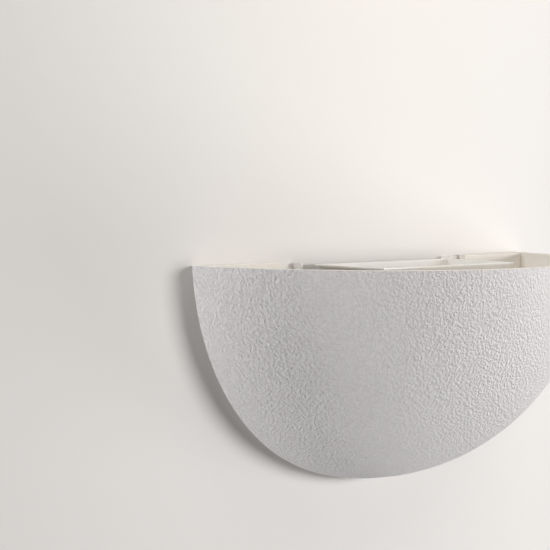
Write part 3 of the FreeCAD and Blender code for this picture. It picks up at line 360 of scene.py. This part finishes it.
# %% Helpers for pieces
def finish_piece(name, bm, body, stands_for, finishes=(), crease=35):
    """Turns a bmesh into a piece that rides on a body and stands for CAD nodes."""
    mesh = bpy.data.meshes.new(name)
    bm.to_mesh(mesh)
    bm.free()
    mesh.shade_smooth()
    mesh.set_sharp_from_angle(angle=math.radians(crease))
    piece = bpy.data.objects.new(name, mesh)
    bpy.context.scene.collection.objects.link(piece)
    slot = slot_of[stands_for[0]]
    for finish in finishes or (FINISHES[slot],):
        mesh.materials.append(finish)
    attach(piece, body)
    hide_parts(*stands_for)
    print(f"{name}: {len(mesh.polygons)} faces")
    return piece


def box_bmesh(low, high):
    """A closed box between two corners."""
    bm = bmesh.new()
    bmesh.ops.create_cube(bm, size=1)
    low, high = Vector(low), Vector(high)
    bmesh.ops.scale(bm, vec=high - low, verts=bm.verts)
    bmesh.ops.translate(bm, vec=(low + high) / 2, verts=bm.verts)
    return bm


def temporary(name, bm, finishes=()):
    """A plain object for a boolean, deleted when the cut is done."""
    mesh = bpy.data.meshes.new(name)
    bm.to_mesh(mesh)
    bm.free()
    for finish in finishes:
        mesh.materials.append(finish)
    thing = bpy.data.objects.new(name, mesh)
    bpy.context.scene.collection.objects.link(thing)
    return thing


def cut_away(solid, cutters):
    """Cuts each cutter from a solid and returns the result as a bmesh; the objects are deleted."""
    for cutter in cutters:
        boolean = solid.modifiers.new(cutter.name, "BOOLEAN")
        boolean.operation = "DIFFERENCE"
        boolean.solver = "MANIFOLD"
        boolean.object = cutter
    bpy.context.view_layer.update()
    graph = bpy.context.evaluated_depsgraph_get()
    mesh = bpy.data.meshes.new_from_object(solid.evaluated_get(graph))
    bm = bmesh.new()
    bm.from_mesh(mesh)
    bpy.data.meshes.remove(mesh)
    for thing in [solid, *cutters]:
        bpy.data.objects.remove(thing)
    return bm


print("piece helpers ready")

# %% [markdown]
# ## The bowl
# The bowl is a quarter of a flattened ball. Its outline against the wall is a half oval of three tangent
# arcs. Swinging that outline about the line of the rim, from the wall to the front, gives the whole
# outside, which is then drawn in a little because the bowl is less deep than it is tall. The spin
# operator does both jobs: it turns one point about a centre for each arc, and then the whole outline
# about the rim.
#
# The photograph shows a sandy coat whose grains catch the light, so the outside has real relief: fine
# noise sinks each point a few tenths of a millimetre, and a bump in the material adds the smallest
# grains. The hollow, the opening in the flat back, the recesses for the bracket's ears and the slots
# for its hooks are then cut, as in the CAD piece.

# %% The bowl's measures
bowl_low, bowl_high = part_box("shell")
RIM = bowl_high.z
BOWL_HALF = bowl_high.x
BOWL_HEIGHT = bowl_high.z - bowl_low.z
BOWL_DEPTH = -bowl_low.y
BOWL_WALL = 6.5 * MM
SIDE_LEAN = math.radians(4.6)
SIDE_TURN = math.radians(65)
COAT_GRAIN = 2.1 * MM
COAT_DEPTH = 0.2 * MM
COAT_MEAN = 0.5
COARSE_NOISE = 0.6
FINE_NOISE = 0.3
FINE_NOISE_SCALE = 2.3
EDGE_ROUND = 0.7 * MM
EDGE_TURN = math.radians(30)
SHARP_TIP = 6 * MM
IN_PLANE = 0.01 * MM
SAME_POINT = 0.001 * MM


def oval_radii(half, height):
    """The side arc's and the bottom arc's radius for a half oval of this half width and height."""
    sin_lean, cos_lean = math.sin(SIDE_LEAN), math.cos(SIDE_LEAN)
    sin_turn, cos_turn = math.sin(SIDE_TURN), math.cos(SIDE_TURN)
    base = (cos_turn - cos_lean) * (1 - sin_turn) + cos_turn * (sin_turn - sin_lean)
    side = (cos_turn * height - (1 - sin_turn) * half) / base
    bottom = ((cos_turn - cos_lean) * height + (sin_turn - sin_lean) * half) / base
    return side, bottom


side_radius, bottom_radius = oval_radii(BOWL_HALF, BOWL_HEIGHT)
print(f"side arc {side_radius / MM:.1f} mm, bottom arc {bottom_radius / MM:.1f} mm")

# %% [markdown]
# The outline starts as one point at the right end of the rim. Spinning it about the centre of each arc in
# turn draws the three arcs, each with its share of the steps. For the hollow, the same arcs are drawn with
# smaller radii about the same centres, which keeps the wall even.


# %% The outline and its swing
def oval_outline(bm, inset, steps):
    """Three tangent arcs from the right end to the left, inset from the outside."""
    small = side_radius - inset
    big = bottom_radius - inset
    centre_x = BOWL_HALF - side_radius * math.cos(SIDE_LEAN)
    centre_z = side_radius * math.sin(SIDE_LEAN)
    big_z = bottom_radius - BOWL_HEIGHT
    lean = math.asin(centre_z / small)
    point = bm.verts.new((centre_x + small * math.cos(lean), 0, 0))
    arcs = [
        (Vector((centre_x, 0, centre_z)), small, SIDE_TURN - lean),
        (Vector((0, 0, big_z)), big, math.pi - 2 * SIDE_TURN),
        (Vector((-centre_x, 0, centre_z)), small, SIDE_TURN - lean),
    ]
    length = sum(radius * angle for _, radius, angle in arcs)
    for centre, radius, angle in arcs:
        count = max(3, round(steps * radius * angle / length))
        spun = bmesh.ops.spin(bm, geom=[point], cent=centre, axis=(0, 1, 0), angle=angle, steps=count,
                              use_duplicate=False)
        point = [item for item in spun["geom_last"] if isinstance(item, bmesh.types.BMVert)][0]


def swung_oval(inset, along, around, past):
    """The outline swung about the rim's line, from the wall to the rim and a little past it."""
    bm = bmesh.new()
    oval_outline(bm, inset, along)
    bmesh.ops.spin(bm, geom=bm.verts[:] + bm.edges[:], cent=(0, 0, 0), axis=(1, 0, 0),
                   angle=-(math.pi / 2 + past), steps=around, use_duplicate=False)
    bmesh.ops.remove_doubles(bm, verts=bm.verts, dist=SAME_POINT)
    bm.verts.ensure_lookup_table()
    share = (BOWL_DEPTH - inset) / (BOWL_HEIGHT - inset)
    bmesh.ops.scale(bm, vec=(1, share, 1), verts=bm.verts)
    bm.normal_update()
    if bm.verts[0].normal.x < 0:
        bmesh.ops.reverse_faces(bm, faces=bm.faces)
    return bm


print("outline and swing ready")

# %% [markdown]
# The relief moves points only inwards, so the bowl never grows past its CAD box. Points on the two open
# outlines stay in their planes, which leaves the rim and the back flat enough to be closed with one face
# each. The booleans that follow need such a closed body.


# %% The sandy relief and the flat ends
def sink_coat(bm):
    """Sinks the outside's points by rounded noise; the two open outlines stay in their planes."""
    bm.normal_update()
    for vert in bm.verts:
        spot = vert.co / COAT_GRAIN
        coarse, fine = noise.noise(spot), noise.noise(spot * FINE_NOISE_SCALE)
        height = COAT_MEAN + COARSE_NOISE * coarse + FINE_NOISE * fine
        move = -vert.normal * COAT_DEPTH * min(1, max(0, height))
        if vert.is_boundary:
            move *= 0.5
        if abs(vert.co.y) < IN_PLANE:
            move.y = 0
        if abs(vert.co.z) < IN_PLANE:
            move.z = 0
        vert.co += move


def close_ends(bm):
    """Fills the two open outlines with flat faces, which share the straight line between the poles."""
    outlines = {True: [], False: []}
    for edge in bm.edges:
        if edge.is_boundary:
            at_wall = max(abs(vert.co.y) for vert in edge.verts) < IN_PLANE
            outlines[at_wall].append(edge)
    poles = [vert for vert in bm.verts if math.hypot(vert.co.y, vert.co.z) < SAME_POINT]
    line = bm.edges.new(poles)
    for outline in outlines.values():
        made = bmesh.ops.contextual_create(bm, geom=outline + [line])
        for face in made["faces"]:
            face.material_index = 1
    bmesh.ops.recalc_face_normals(bm, faces=bm.faces)


OUTLINE_STEPS = 420
SWING_STEPS = 200
bowl = swung_oval(0, OUTLINE_STEPS, SWING_STEPS, 0)
sink_coat(bowl)
close_ends(bowl)
bmesh.ops.translate(bowl, vec=(0, 0, RIM), verts=bowl.verts)
print("swung outside:", len(bowl.faces), "faces, volume", round(bowl.calc_volume() / MM**3), "mm3")

# %% [markdown]
# The hollow is the same swung oval, one wall smaller all round. It swings a little past the rim, so that
# it cuts cleanly through the top, and it is cut off flat where the back flange begins. The opening in the
# back, the ears' recesses and the hook slots are plain blocks.

# %% The cutters
OPENING_HALF = 84.6 * MM
OPENING_DROP = 96 * MM
OPENING_CORNER = 28 * MM
RECESS_DEPTH = 2 * MM
RECESS_REACH = 99 * MM
RECESS_FOOT = -19 * MM
SLOT_INNER = 87.25 * MM
SLOT_OUTER = 96.75 * MM
SLOT_FOOT = 16 * MM
SLOT_TOP = 26 * MM
CLEAR = 5 * MM
HOLLOW_OUTLINE_STEPS = 150
HOLLOW_SWING_STEPS = 76
PAST_RIM = math.radians(8)


def hollow_cutter():
    """The hollow of the bowl, open past the rim and flat at the back flange."""
    bm = swung_oval(BOWL_WALL, HOLLOW_OUTLINE_STEPS, HOLLOW_SWING_STEPS, PAST_RIM)
    close_ends(bm)
    bmesh.ops.bisect_plane(bm, geom=bm.verts[:] + bm.edges[:] + bm.faces[:], plane_co=(0, -BOWL_WALL, 0),
                           plane_no=(0, 1, 0), clear_outer=True)
    bmesh.ops.holes_fill(bm, edges=[edge for edge in bm.edges if edge.is_boundary])
    bmesh.ops.recalc_face_normals(bm, faces=bm.faces)
    bmesh.ops.translate(bm, vec=(0, 0, RIM), verts=bm.verts)
    return bm


def opening_cutter():
    """A block with two rounded lower corners, through the back flange and out of the top."""
    low = (-OPENING_HALF, -BOWL_WALL - CLEAR, RIM - OPENING_DROP)
    high = (OPENING_HALF, CLEAR, RIM + CLEAR)
    bm = box_bmesh(low, high)
    corners = []
    for edge in bm.edges:
        first, last = edge.verts[0].co, edge.verts[1].co
        if abs(first.y - last.y) > BOWL_WALL and max(first.z, last.z) < 0:
            corners.append(edge)
    bmesh.ops.bevel(bm, geom=corners, offset=OPENING_CORNER, segments=20, profile=0.5, affect="EDGES",
                    material=-1)
    return bm


def side_cutters(side):
    """The recess that one ear lies in, and the slot that its hook passes through."""
    recess = sorted((side * (OPENING_HALF - CLEAR), side * RECESS_REACH))
    slot = sorted((side * SLOT_INNER, side * SLOT_OUTER))
    return [
        box_bmesh((recess[0], -RECESS_DEPTH, RECESS_FOOT), (recess[1], CLEAR, RIM + CLEAR)),
        box_bmesh((slot[0], -BOWL_WALL - CLEAR, SLOT_FOOT), (slot[1], CLEAR, SLOT_TOP)),
    ]


cutters = []
for bm in [hollow_cutter(), opening_cutter(), *side_cutters(-1), *side_cutters(1)]:
    for face in bm.faces:
        face.material_index = 1
    cutters.append(temporary(f"cutter_{len(cutters)}", bm, BOWL_FINISHES))
bowl = cut_away(temporary("bowl_block", bowl, BOWL_FINISHES), cutters)
print("cut bowl:", len(bowl.faces), "faces, volume", round(bowl.calc_volume() / MM**3), "mm3")

# %% [markdown]
# A cast edge is never sharp, so each corner that the cuts made is bevelled. Every such corner lies beside
# a face that is square to an axis, which tells it from the folds of the relief. The two thin tips at the
# ends of the rim stay as they are, because there is no room for a bevel.


# %% Soften the bowl's edges
SQUARE_FACE = 0.99999


def lies_flat(face):
    """True for a face that is square to one of the axes."""
    return max(abs(value) for value in face.normal) > SQUARE_FACE


def is_corner(edge, least):
    """True for an edge beside a flat face that turns by more than the least angle."""
    if len(edge.link_faces) != 2 or not any(lies_flat(face) for face in edge.link_faces):
        return False
    return edge.calc_face_angle(0) > least


bowl.normal_update()
edges = [edge for edge in bowl.edges if is_corner(edge, EDGE_TURN)]
edges = [edge for edge in edges if max(abs(vert.co.x) for vert in edge.verts) < BOWL_HALF - SHARP_TIP]
bmesh.ops.bevel(bowl, geom=edges, offset=EDGE_ROUND, segments=3, profile=0.5, affect="EDGES",
                material=-1, clamp_overlap=True)
bowl.normal_update()
finish_piece("bowl_casting", bowl, "bowl", ["shell"], BOWL_FINISHES, crease=70)
print("softened", len(edges), "edges")

# %% [markdown]
# ## Pressed, turned and moulded pieces
# Most of the small pieces already have the right form in the CAD model, but a CAD edge is perfectly
# sharp, and a real one never is: it catches a thin line of light. So a copy of each piece's mesh is
# merged, its flat facets are dissolved into whole faces, and its corners are bevelled by a few tenths
# of a millimetre. The copy then stands for the CAD piece. The slots in the screw heads are cut first.


# %% Copies with softened corners
CAD_MERGE = 0.002 * MM
SAME_FACE = math.radians(0.6)
SHEET_EDGE = 0.22 * MM
CERAMIC_EDGE = 0.45 * MM
CAP_EDGE = 0.35 * MM
BLOCK_EDGE = 0.3 * MM
SMALL_EDGE = 0.12 * MM
WIRE_EDGE = 0.05 * MM


def copy_of(node):
    """A merged copy of a CAD piece's mesh, with its flat faces whole."""
    bm = bmesh.new()
    bm.from_mesh(nodes[node].data)
    bmesh.ops.remove_doubles(bm, verts=bm.verts, dist=CAD_MERGE)
    bmesh.ops.dissolve_limit(bm, angle_limit=SAME_FACE, verts=bm.verts, edges=bm.edges)
    return bm


def soften(bm, width, least=32, segments=2):
    """Bevels each edge that turns by more than the least angle."""
    bm.normal_update()
    sharp = []
    for edge in bm.edges:
        if len(edge.link_faces) == 2 and edge.calc_face_angle(0) > math.radians(least):
            sharp.append(edge)
    bmesh.ops.bevel(bm, geom=sharp, offset=width, segments=segments, profile=0.5, affect="EDGES",
                    material=-1, clamp_overlap=True)


def softened_piece(node, body, width, cutters=()):
    """A softened copy of one CAD piece, with any slots cut first."""
    bm = copy_of(node)
    if cutters:
        tools = [temporary(f"{node}_slot_{index}", cutter) for index, cutter in enumerate(cutters)]
        bm = cut_away(temporary(node + "_blank", bm), tools)
    soften(bm, width)
    finish_piece(node + "_made", bm, body, [node])


for node, width in {
    "wall_bracket": SHEET_EDGE, "reflector_tray": SHEET_EDGE, "cable_bush": CERAMIC_EDGE,
    "terminal_block": BLOCK_EDGE, "terminal_tubes": SMALL_EDGE, "terminal_nut": SMALL_EDGE,
    "earth_washer": SMALL_EDGE, "earth_tag": SMALL_EDGE, "earth_nut": SMALL_EDGE, "tray_nuts": SMALL_EDGE,
    "lead_bushes": SMALL_EDGE, "lamp_holder_left": CERAMIC_EDGE, "lamp_holder_right": CERAMIC_EDGE,
    "contact_terminal_left": SMALL_EDGE, "contact_terminal_right": SMALL_EDGE,
    "lamp_cap_left": CAP_EDGE, "lamp_cap_right": CAP_EDGE, "lamp_tube": SMALL_EDGE,
    "lamp_contact_left": SMALL_EDGE, "lamp_contact_right": SMALL_EDGE, "filament_supports": WIRE_EDGE,
}.items():
    softened_piece(node, "bracket", width)
for word in ("left", "right"):
    softened_piece("contact_plunger_" + word, word + "_contact", SMALL_EDGE)

# %% [markdown]
# Screws that belong together share one CAD piece. To cut a slot in each head, the mesh is first parted
# into its islands by walking along its edges. A thin block then lies across the top of each island.


# %% Screws with slots
DRIVER_REACH = 4 * MM
DRIVER_WIDTH = 0.7 * MM
DRIVER_DEPTH = 0.8 * MM


def slots_for(node, across, top, reach, width, depth):
    """A thin block across each screw head; across is an axis, top is the head's axis and sign."""
    blocks = []
    bm = copy_of(node)
    bm.verts.ensure_lookup_table()
    left = set(bm.verts)
    while left:
        island = [left.pop()]
        for vert in island:
            for edge in vert.link_edges:
                other = edge.other_vert(vert)
                if other in left:
                    left.remove(other)
                    island.append(other)
        low = Vector([min(vert.co[axis] for vert in island) for axis in range(3)])
        high = Vector([max(vert.co[axis] for vert in island) for axis in range(3)])
        middle = (low + high) / 2
        half = Vector((width / 2, width / 2, width / 2))
        half[across] = reach
        axis, sign = top
        start, end = middle - half, middle + half
        face = high[axis] if sign > 0 else low[axis]
        start[axis], end[axis] = sorted((face - sign * depth, face + sign * depth))
        blocks.append(box_bmesh(start, end))
    bm.free()
    return blocks


for node, across, top in (("terminal_screws", 0, (1, -1)), ("tray_screws", 1, (2, 1)),
                          ("holder_screws", 1, (2, -1))):
    slots = slots_for(node, across, top, DRIVER_REACH, DRIVER_WIDTH, DRIVER_DEPTH)
    softened_piece(node, "bracket", SMALL_EDGE, cutters=slots)

# %% [markdown]
# ## Wound wire
# A coil is a small circle that the spin operator turns about an axis while it moves along it. The two
# contact springs and the lamp's filament are made this way. Each spring is held between its brass seat
# and the plunger's collar, so it shortens when the plunger is pushed in.


# %% Springs and filament
def coil(bm, start, axis_sign, coil_radius, wire, turns, length, steps, sides):
    """A closed coil of round wire round the X axis through a start point."""
    centre = Vector(start)
    turn = Matrix.Rotation(math.pi / 2, 3, "X")
    made = bmesh.ops.create_circle(bm, cap_ends=False, segments=sides, radius=wire / 2)
    bmesh.ops.rotate(bm, cent=(0, 0, 0), matrix=turn, verts=made["verts"])
    bmesh.ops.translate(bm, vec=centre + Vector((0, 0, coil_radius)), verts=made["verts"])
    ring = made["verts"] + list({edge for vert in made["verts"] for edge in vert.link_edges})
    step = Vector((axis_sign * length / steps, 0, 0))
    bmesh.ops.spin(bm, geom=ring, cent=centre, axis=(1, 0, 0), dvec=step,
                   angle=2 * math.pi * turns, steps=steps, use_duplicate=False)
    bmesh.ops.holes_fill(bm, edges=[edge for edge in bm.edges if edge.is_boundary])
    bmesh.ops.recalc_face_normals(bm, faces=bm.faces)


SPRING_WIRE = 0.7 * MM
SPRING_TURNS = 5
SPRING_STEPS = 40
SPRING_SIDES = 14
for word, side in (("left", -1), ("right", 1)):
    low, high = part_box("contact_spring_" + word)
    middle = (low + high) / 2
    start_x = high.x if side < 0 else low.x
    length = high.x - low.x
    bm = bmesh.new()
    coil(bm, (start_x + side * SPRING_WIRE / 2, middle.y, middle.z), side,
         (high.z - low.z - SPRING_WIRE) / 2, SPRING_WIRE, SPRING_TURNS, length - SPRING_WIRE,
         SPRING_TURNS * SPRING_STEPS, SPRING_SIDES)
    spring = finish_piece(f"contact_spring_{word}_made", bm, "bracket", ["contact_spring_" + word])
    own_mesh(spring)

FILAMENT_WIRE = 0.28 * MM
FILAMENT_PITCH = 0.55 * MM
FILAMENT_STEPS = 14
FILAMENT_SIDES = 6
LEG_LENGTH = 3 * MM
LEG_RADIUS = 0.3 * MM
low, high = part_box("lamp_filament")
middle = (low + high) / 2
wound = high.x - low.x - 2 * LEG_LENGTH
turns = round(wound / FILAMENT_PITCH)
filament = bmesh.new()
coil(filament, (low.x + LEG_LENGTH, middle.y, middle.z), 1, (high.z - low.z - FILAMENT_WIRE) / 2,
     FILAMENT_WIRE, turns, wound, turns * FILAMENT_STEPS, FILAMENT_SIDES)
for start_x in (low.x, high.x - LEG_LENGTH):
    leg = bmesh.ops.create_cone(filament, cap_ends=True, segments=12, radius1=LEG_RADIUS,
                                radius2=LEG_RADIUS, depth=LEG_LENGTH)
    bmesh.ops.rotate(filament, cent=(0, 0, 0), matrix=Matrix.Rotation(math.pi / 2, 3, "Y"),
                     verts=leg["verts"])
    bmesh.ops.translate(filament, vec=(start_x + LEG_LENGTH / 2, middle.y, middle.z), verts=leg["verts"])
finish_piece("filament_coil", filament, "bracket", ["lamp_filament"])
print("filament:", turns, "turns")

# %% [markdown]
# ## Sleeved leads
# Each lead is a soft sleeved wire that both of its ends hold. A curve with a round bevel gives that form
# at once, from the same few points as in the CAD model, and it is turned into a mesh at the end.


# %% Leads
def sleeved_lead(node, points, diameter):
    """A smooth tube along a NURBS curve through a few chosen points."""
    curve = bpy.data.curves.new(node + "_route", "CURVE")
    curve.dimensions = "3D"
    curve.bevel_depth = diameter / 2
    curve.bevel_resolution = 5
    curve.use_fill_caps = True
    curve.resolution_u = 16
    spline = curve.splines.new("NURBS")
    spline.points.add(len(points) - 1)
    for spot, place in zip(spline.points, points):
        spot.co = (*place, 1)
    spline.order_u = 3
    spline.use_endpoint_u = True
    route = bpy.data.objects.new(node + "_route", curve)
    bpy.context.scene.collection.objects.link(route)
    bpy.context.view_layer.update()
    mesh = bpy.data.meshes.new_from_object(route)
    bm = bmesh.new()
    bm.from_mesh(mesh)
    bmesh.ops.remove_doubles(bm, verts=bm.verts, dist=SAME_POINT)
    bmesh.ops.recalc_face_normals(bm, faces=bm.faces)
    bpy.data.objects.remove(route)
    finish_piece(node + "_made", bm, "bracket", [node])


LEAD = 2.4 * MM
LEAD_X = 56 * MM
LAMP_Y = -36 * MM
LAMP_Z = 34 * MM
LEAD_LOW = 4.8 * MM
LEAD_DROP = 8 * MM
POLE_Y = -8 * MM
POLE_X = 11 * MM
POLE_MOUTH = -8 * MM
POLE_END = -16 * MM
EARTH_X = 32 * MM
EARTH_START = -6 * MM
EARTH_LOOP = 10 * MM
EARTH_TURN = -2 * MM
EARTH_IN_TAG = 4 * MM
for node, side in (("live_lead", -1), ("neutral_lead", 1)):
    x, pole_x = side * LEAD_X, side * POLE_X
    sleeved_lead(node, [
        (x, LAMP_Y, LAMP_Z), (x, LAMP_Y, LEAD_LOW + LEAD_DROP), (x, LAMP_Y, LEAD_LOW),
        ((x + pole_x) / 2, (LAMP_Y + POLE_Y) / 2, LEAD_LOW - LEAD),
        (pole_x, POLE_Y, LEAD_LOW - LEAD), (pole_x, POLE_Y, POLE_MOUTH), (pole_x, POLE_Y, POLE_END),
    ], LEAD)
earth_low, earth_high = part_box("earth_lead")
tag_y = earth_high.y - LEAD / 2
tag_z = earth_low.z + EARTH_IN_TAG
sleeved_lead("earth_lead", [
    (0, POLE_Y, POLE_END), (0, POLE_Y, EARTH_START), (0, POLE_Y, EARTH_LOOP),
    (EARTH_X, tag_y, EARTH_LOOP), (EARTH_X, tag_y, EARTH_TURN), (EARTH_X, tag_y, tag_z),
], LEAD)

# %% [markdown]
# ## The stage and the light
# The wall light hangs on a wall, so the stage is a pale wall, with a painted glow of lamp light above
# the bowl, and a pale floor far below. Both show themselves to the eye, in reflections and through glass,
# and only from the front. Light on its way passes through them, and so does the eye from behind, so that
# the bracket's back can be looked at too.


# %% Wall and floor
def seen_rays(tree):
    """1 for a ray that comes from the eye, a reflection or through glass, and 0 for light on its way."""
    path = add_node(tree, "ShaderNodeLightPath")
    total = path.outputs["Is Camera Ray"]
    for label in ("Is Glossy Ray", "Is Transmission Ray"):
        largest = add_node(tree, "ShaderNodeMath", operation="MAXIMUM")
        join(tree, total, largest.inputs[0])
        join(tree, path.outputs[label], largest.inputs[1])
        total = largest.outputs[0]
    return total


def stage_material(name, glow_tone, far, centre, reach):
    """A matt surface with a painted glow, lighter round a centre, and clear when it is seen from behind."""
    material = bpy.data.materials.new(name)
    material.use_nodes = True
    tree = material.node_tree
    shader = tree.nodes["Principled BSDF"]
    output = tree.nodes["Material Output"]
    shader.inputs["Roughness"].default_value = 0.9
    shader.inputs["Specular IOR Level"].default_value = 0.1
    place = add_node(tree, "ShaderNodeTexCoord")
    centred = add_node(tree, "ShaderNodeMapping")
    centred.inputs["Scale"].default_value = [1 / value for value in reach]
    centred.inputs["Location"].default_value = [-spot / value for spot, value in zip(centre, reach)]
    join(tree, place.outputs["Object"], centred.inputs["Vector"])
    away = add_node(tree, "ShaderNodeVectorMath", operation="LENGTH")
    join(tree, centred.outputs["Vector"], away.inputs[0])
    fade = add_node(tree, "ShaderNodeMapRange", interpolation_type="SMOOTHSTEP")
    join(tree, away.outputs["Value"], fade.inputs["Value"])
    blend = add_node(tree, "ShaderNodeMix", data_type="RGBA")
    blend.inputs[6].default_value = (*glow_tone, 1)
    blend.inputs[7].default_value = (*far, 1)
    join(tree, fade.outputs["Result"], blend.inputs[0])
    join(tree, blend.outputs[2], shader.inputs["Base Color"])
    clear = add_node(tree, "ShaderNodeBsdfTransparent")
    front = add_node(tree, "ShaderNodeMath", operation="SUBTRACT", use_clamp=True)
    side = add_node(tree, "ShaderNodeNewGeometry")
    join(tree, seen_rays(tree), front.inputs[0])
    join(tree, side.outputs["Backfacing"], front.inputs[1])
    sides = add_node(tree, "ShaderNodeMixShader")
    join(tree, front.outputs[0], sides.inputs["Fac"])
    join(tree, clear.outputs["BSDF"], sides.inputs[1])
    join(tree, shader.outputs["BSDF"], sides.inputs[2])
    join(tree, sides.outputs["Shader"], output.inputs["Surface"])
    return material


def stage_plane(name, centre, half, turn, material):
    """A square plane of the stage, turned about the X axis."""
    bm = bmesh.new()
    bmesh.ops.create_grid(bm, x_segments=1, y_segments=1, size=half)
    bmesh.ops.rotate(bm, cent=(0, 0, 0), matrix=Matrix.Rotation(turn, 3, "X"), verts=bm.verts)
    bmesh.ops.translate(bm, vec=centre, verts=bm.verts)
    mesh = bpy.data.meshes.new(name)
    bm.to_mesh(mesh)
    bm.free()
    plane = bpy.data.objects.new(name, mesh)
    plane.data.materials.append(material)
    bpy.context.scene.collection.objects.link(plane)
    return plane


WALL_GAP = 0.4 * MM
FLOOR_DROP = 1.1
# The wall is lighter round a spot above the bowl: painted glow of the lamp's light on the wall. The floor's
# lighter middle is a faint painted glow.
wall_paint_and_glow = stage_material("wall_paint_and_glow", glow_tone=(0.81, 0.79, 0.755), far=(0.78, 0.755, 0.73),
                            centre=(-0.03, 0, 0.16), reach=(0.32, 1, 0.2))
floor_paint = stage_material("floor_paint", glow_tone=(0.82, 0.80, 0.78), far=(0.80, 0.78, 0.76),
                             centre=(0, 0, 0), reach=(1, 1, 1))
wall = stage_plane("wall", (0, WALL_GAP, FLOOR_DROP), FLOOR_DROP * 2, math.pi / 2, wall_paint_and_glow)
floor = stage_plane("floor", (0, -FLOOR_DROP * 2, -FLOOR_DROP), FLOOR_DROP * 2, 0, floor_paint)
print("wall faces", wall.data.polygons[0].normal[:], "floor faces", floor.data.polygons[0].normal[:])

# %% [markdown]
# The photograph is lit softly from the right, and the wall throws some of that light back on the left.
# An area lamp's power is worked out from how bright it makes a white surface that faces it, which keeps
# the numbers meaningful: a strength of 1 would just reach pure white.


# %% Lamps and world
def area_lamp(name, azimuth, elevation, distance, size, strength, colour=(1, 1, 1), aim=(0, 0, 0)):
    """A round area lamp that looks at a point, with the brightness that it gives white there."""
    azimuth, elevation = math.radians(azimuth), math.radians(elevation)
    back = Vector((math.sin(azimuth) * math.cos(elevation), -math.cos(azimuth) * math.cos(elevation),
                   math.sin(elevation)))
    data = bpy.data.lights.new(name, "AREA")
    data.shape = "DISK"
    data.size = size
    data.color = colour
    data.energy = strength * math.pi**2 * distance**2
    lamp = bpy.data.objects.new(name, data)
    lamp.location = Vector(aim) + back * distance
    lamp.rotation_euler = back.to_track_quat("Z", "Y").to_euler()
    lamp.visible_camera = False
    bpy.context.scene.collection.objects.link(lamp)


area_lamp("window", azimuth=27, elevation=4, distance=2.0, size=0.5, strength=0.66)
area_lamp("ceiling", azimuth=0, elevation=50, distance=2.0, size=1.2, strength=0.14)
area_lamp("right_side", azimuth=66, elevation=-12, distance=2.0, size=0.8, strength=0.34)
area_lamp("wall_glow_low", azimuth=-108, elevation=-30, distance=1.8, size=1.2, strength=0.56)
area_lamp("wall_glow_high", azimuth=-120, elevation=48, distance=1.8, size=1.2, strength=0.52)
area_lamp("warm_inside", azimuth=-15, elevation=72, distance=0.4, size=0.34, strength=0.16,
          colour=(1.0, 0.86, 0.70), aim=(0.03, -0.05, 0.03))

world = bpy.data.worlds.new("studio")
world.use_nodes = True
bpy.context.scene.world = world
tree = world.node_tree
tree.nodes.clear()
lighting = add_node(tree, "ShaderNodeBackground", Color=(0.985, 0.985, 1.0, 1), Strength=0.20)
backdrop = add_node(tree, "ShaderNodeBackground", Color=(0.86, 0.85, 0.83, 1), Strength=1.0)
which = add_node(tree, "ShaderNodeMixShader")
join(tree, seen_rays(tree), which.inputs["Fac"])
join(tree, lighting.outputs["Background"], which.inputs[1])
join(tree, backdrop.outputs["Background"], which.inputs[2])
result = add_node(tree, "ShaderNodeOutputWorld")
join(tree, which.outputs["Shader"], result.inputs["Surface"])
bpy.context.scene.view_settings.view_transform = "Standard"
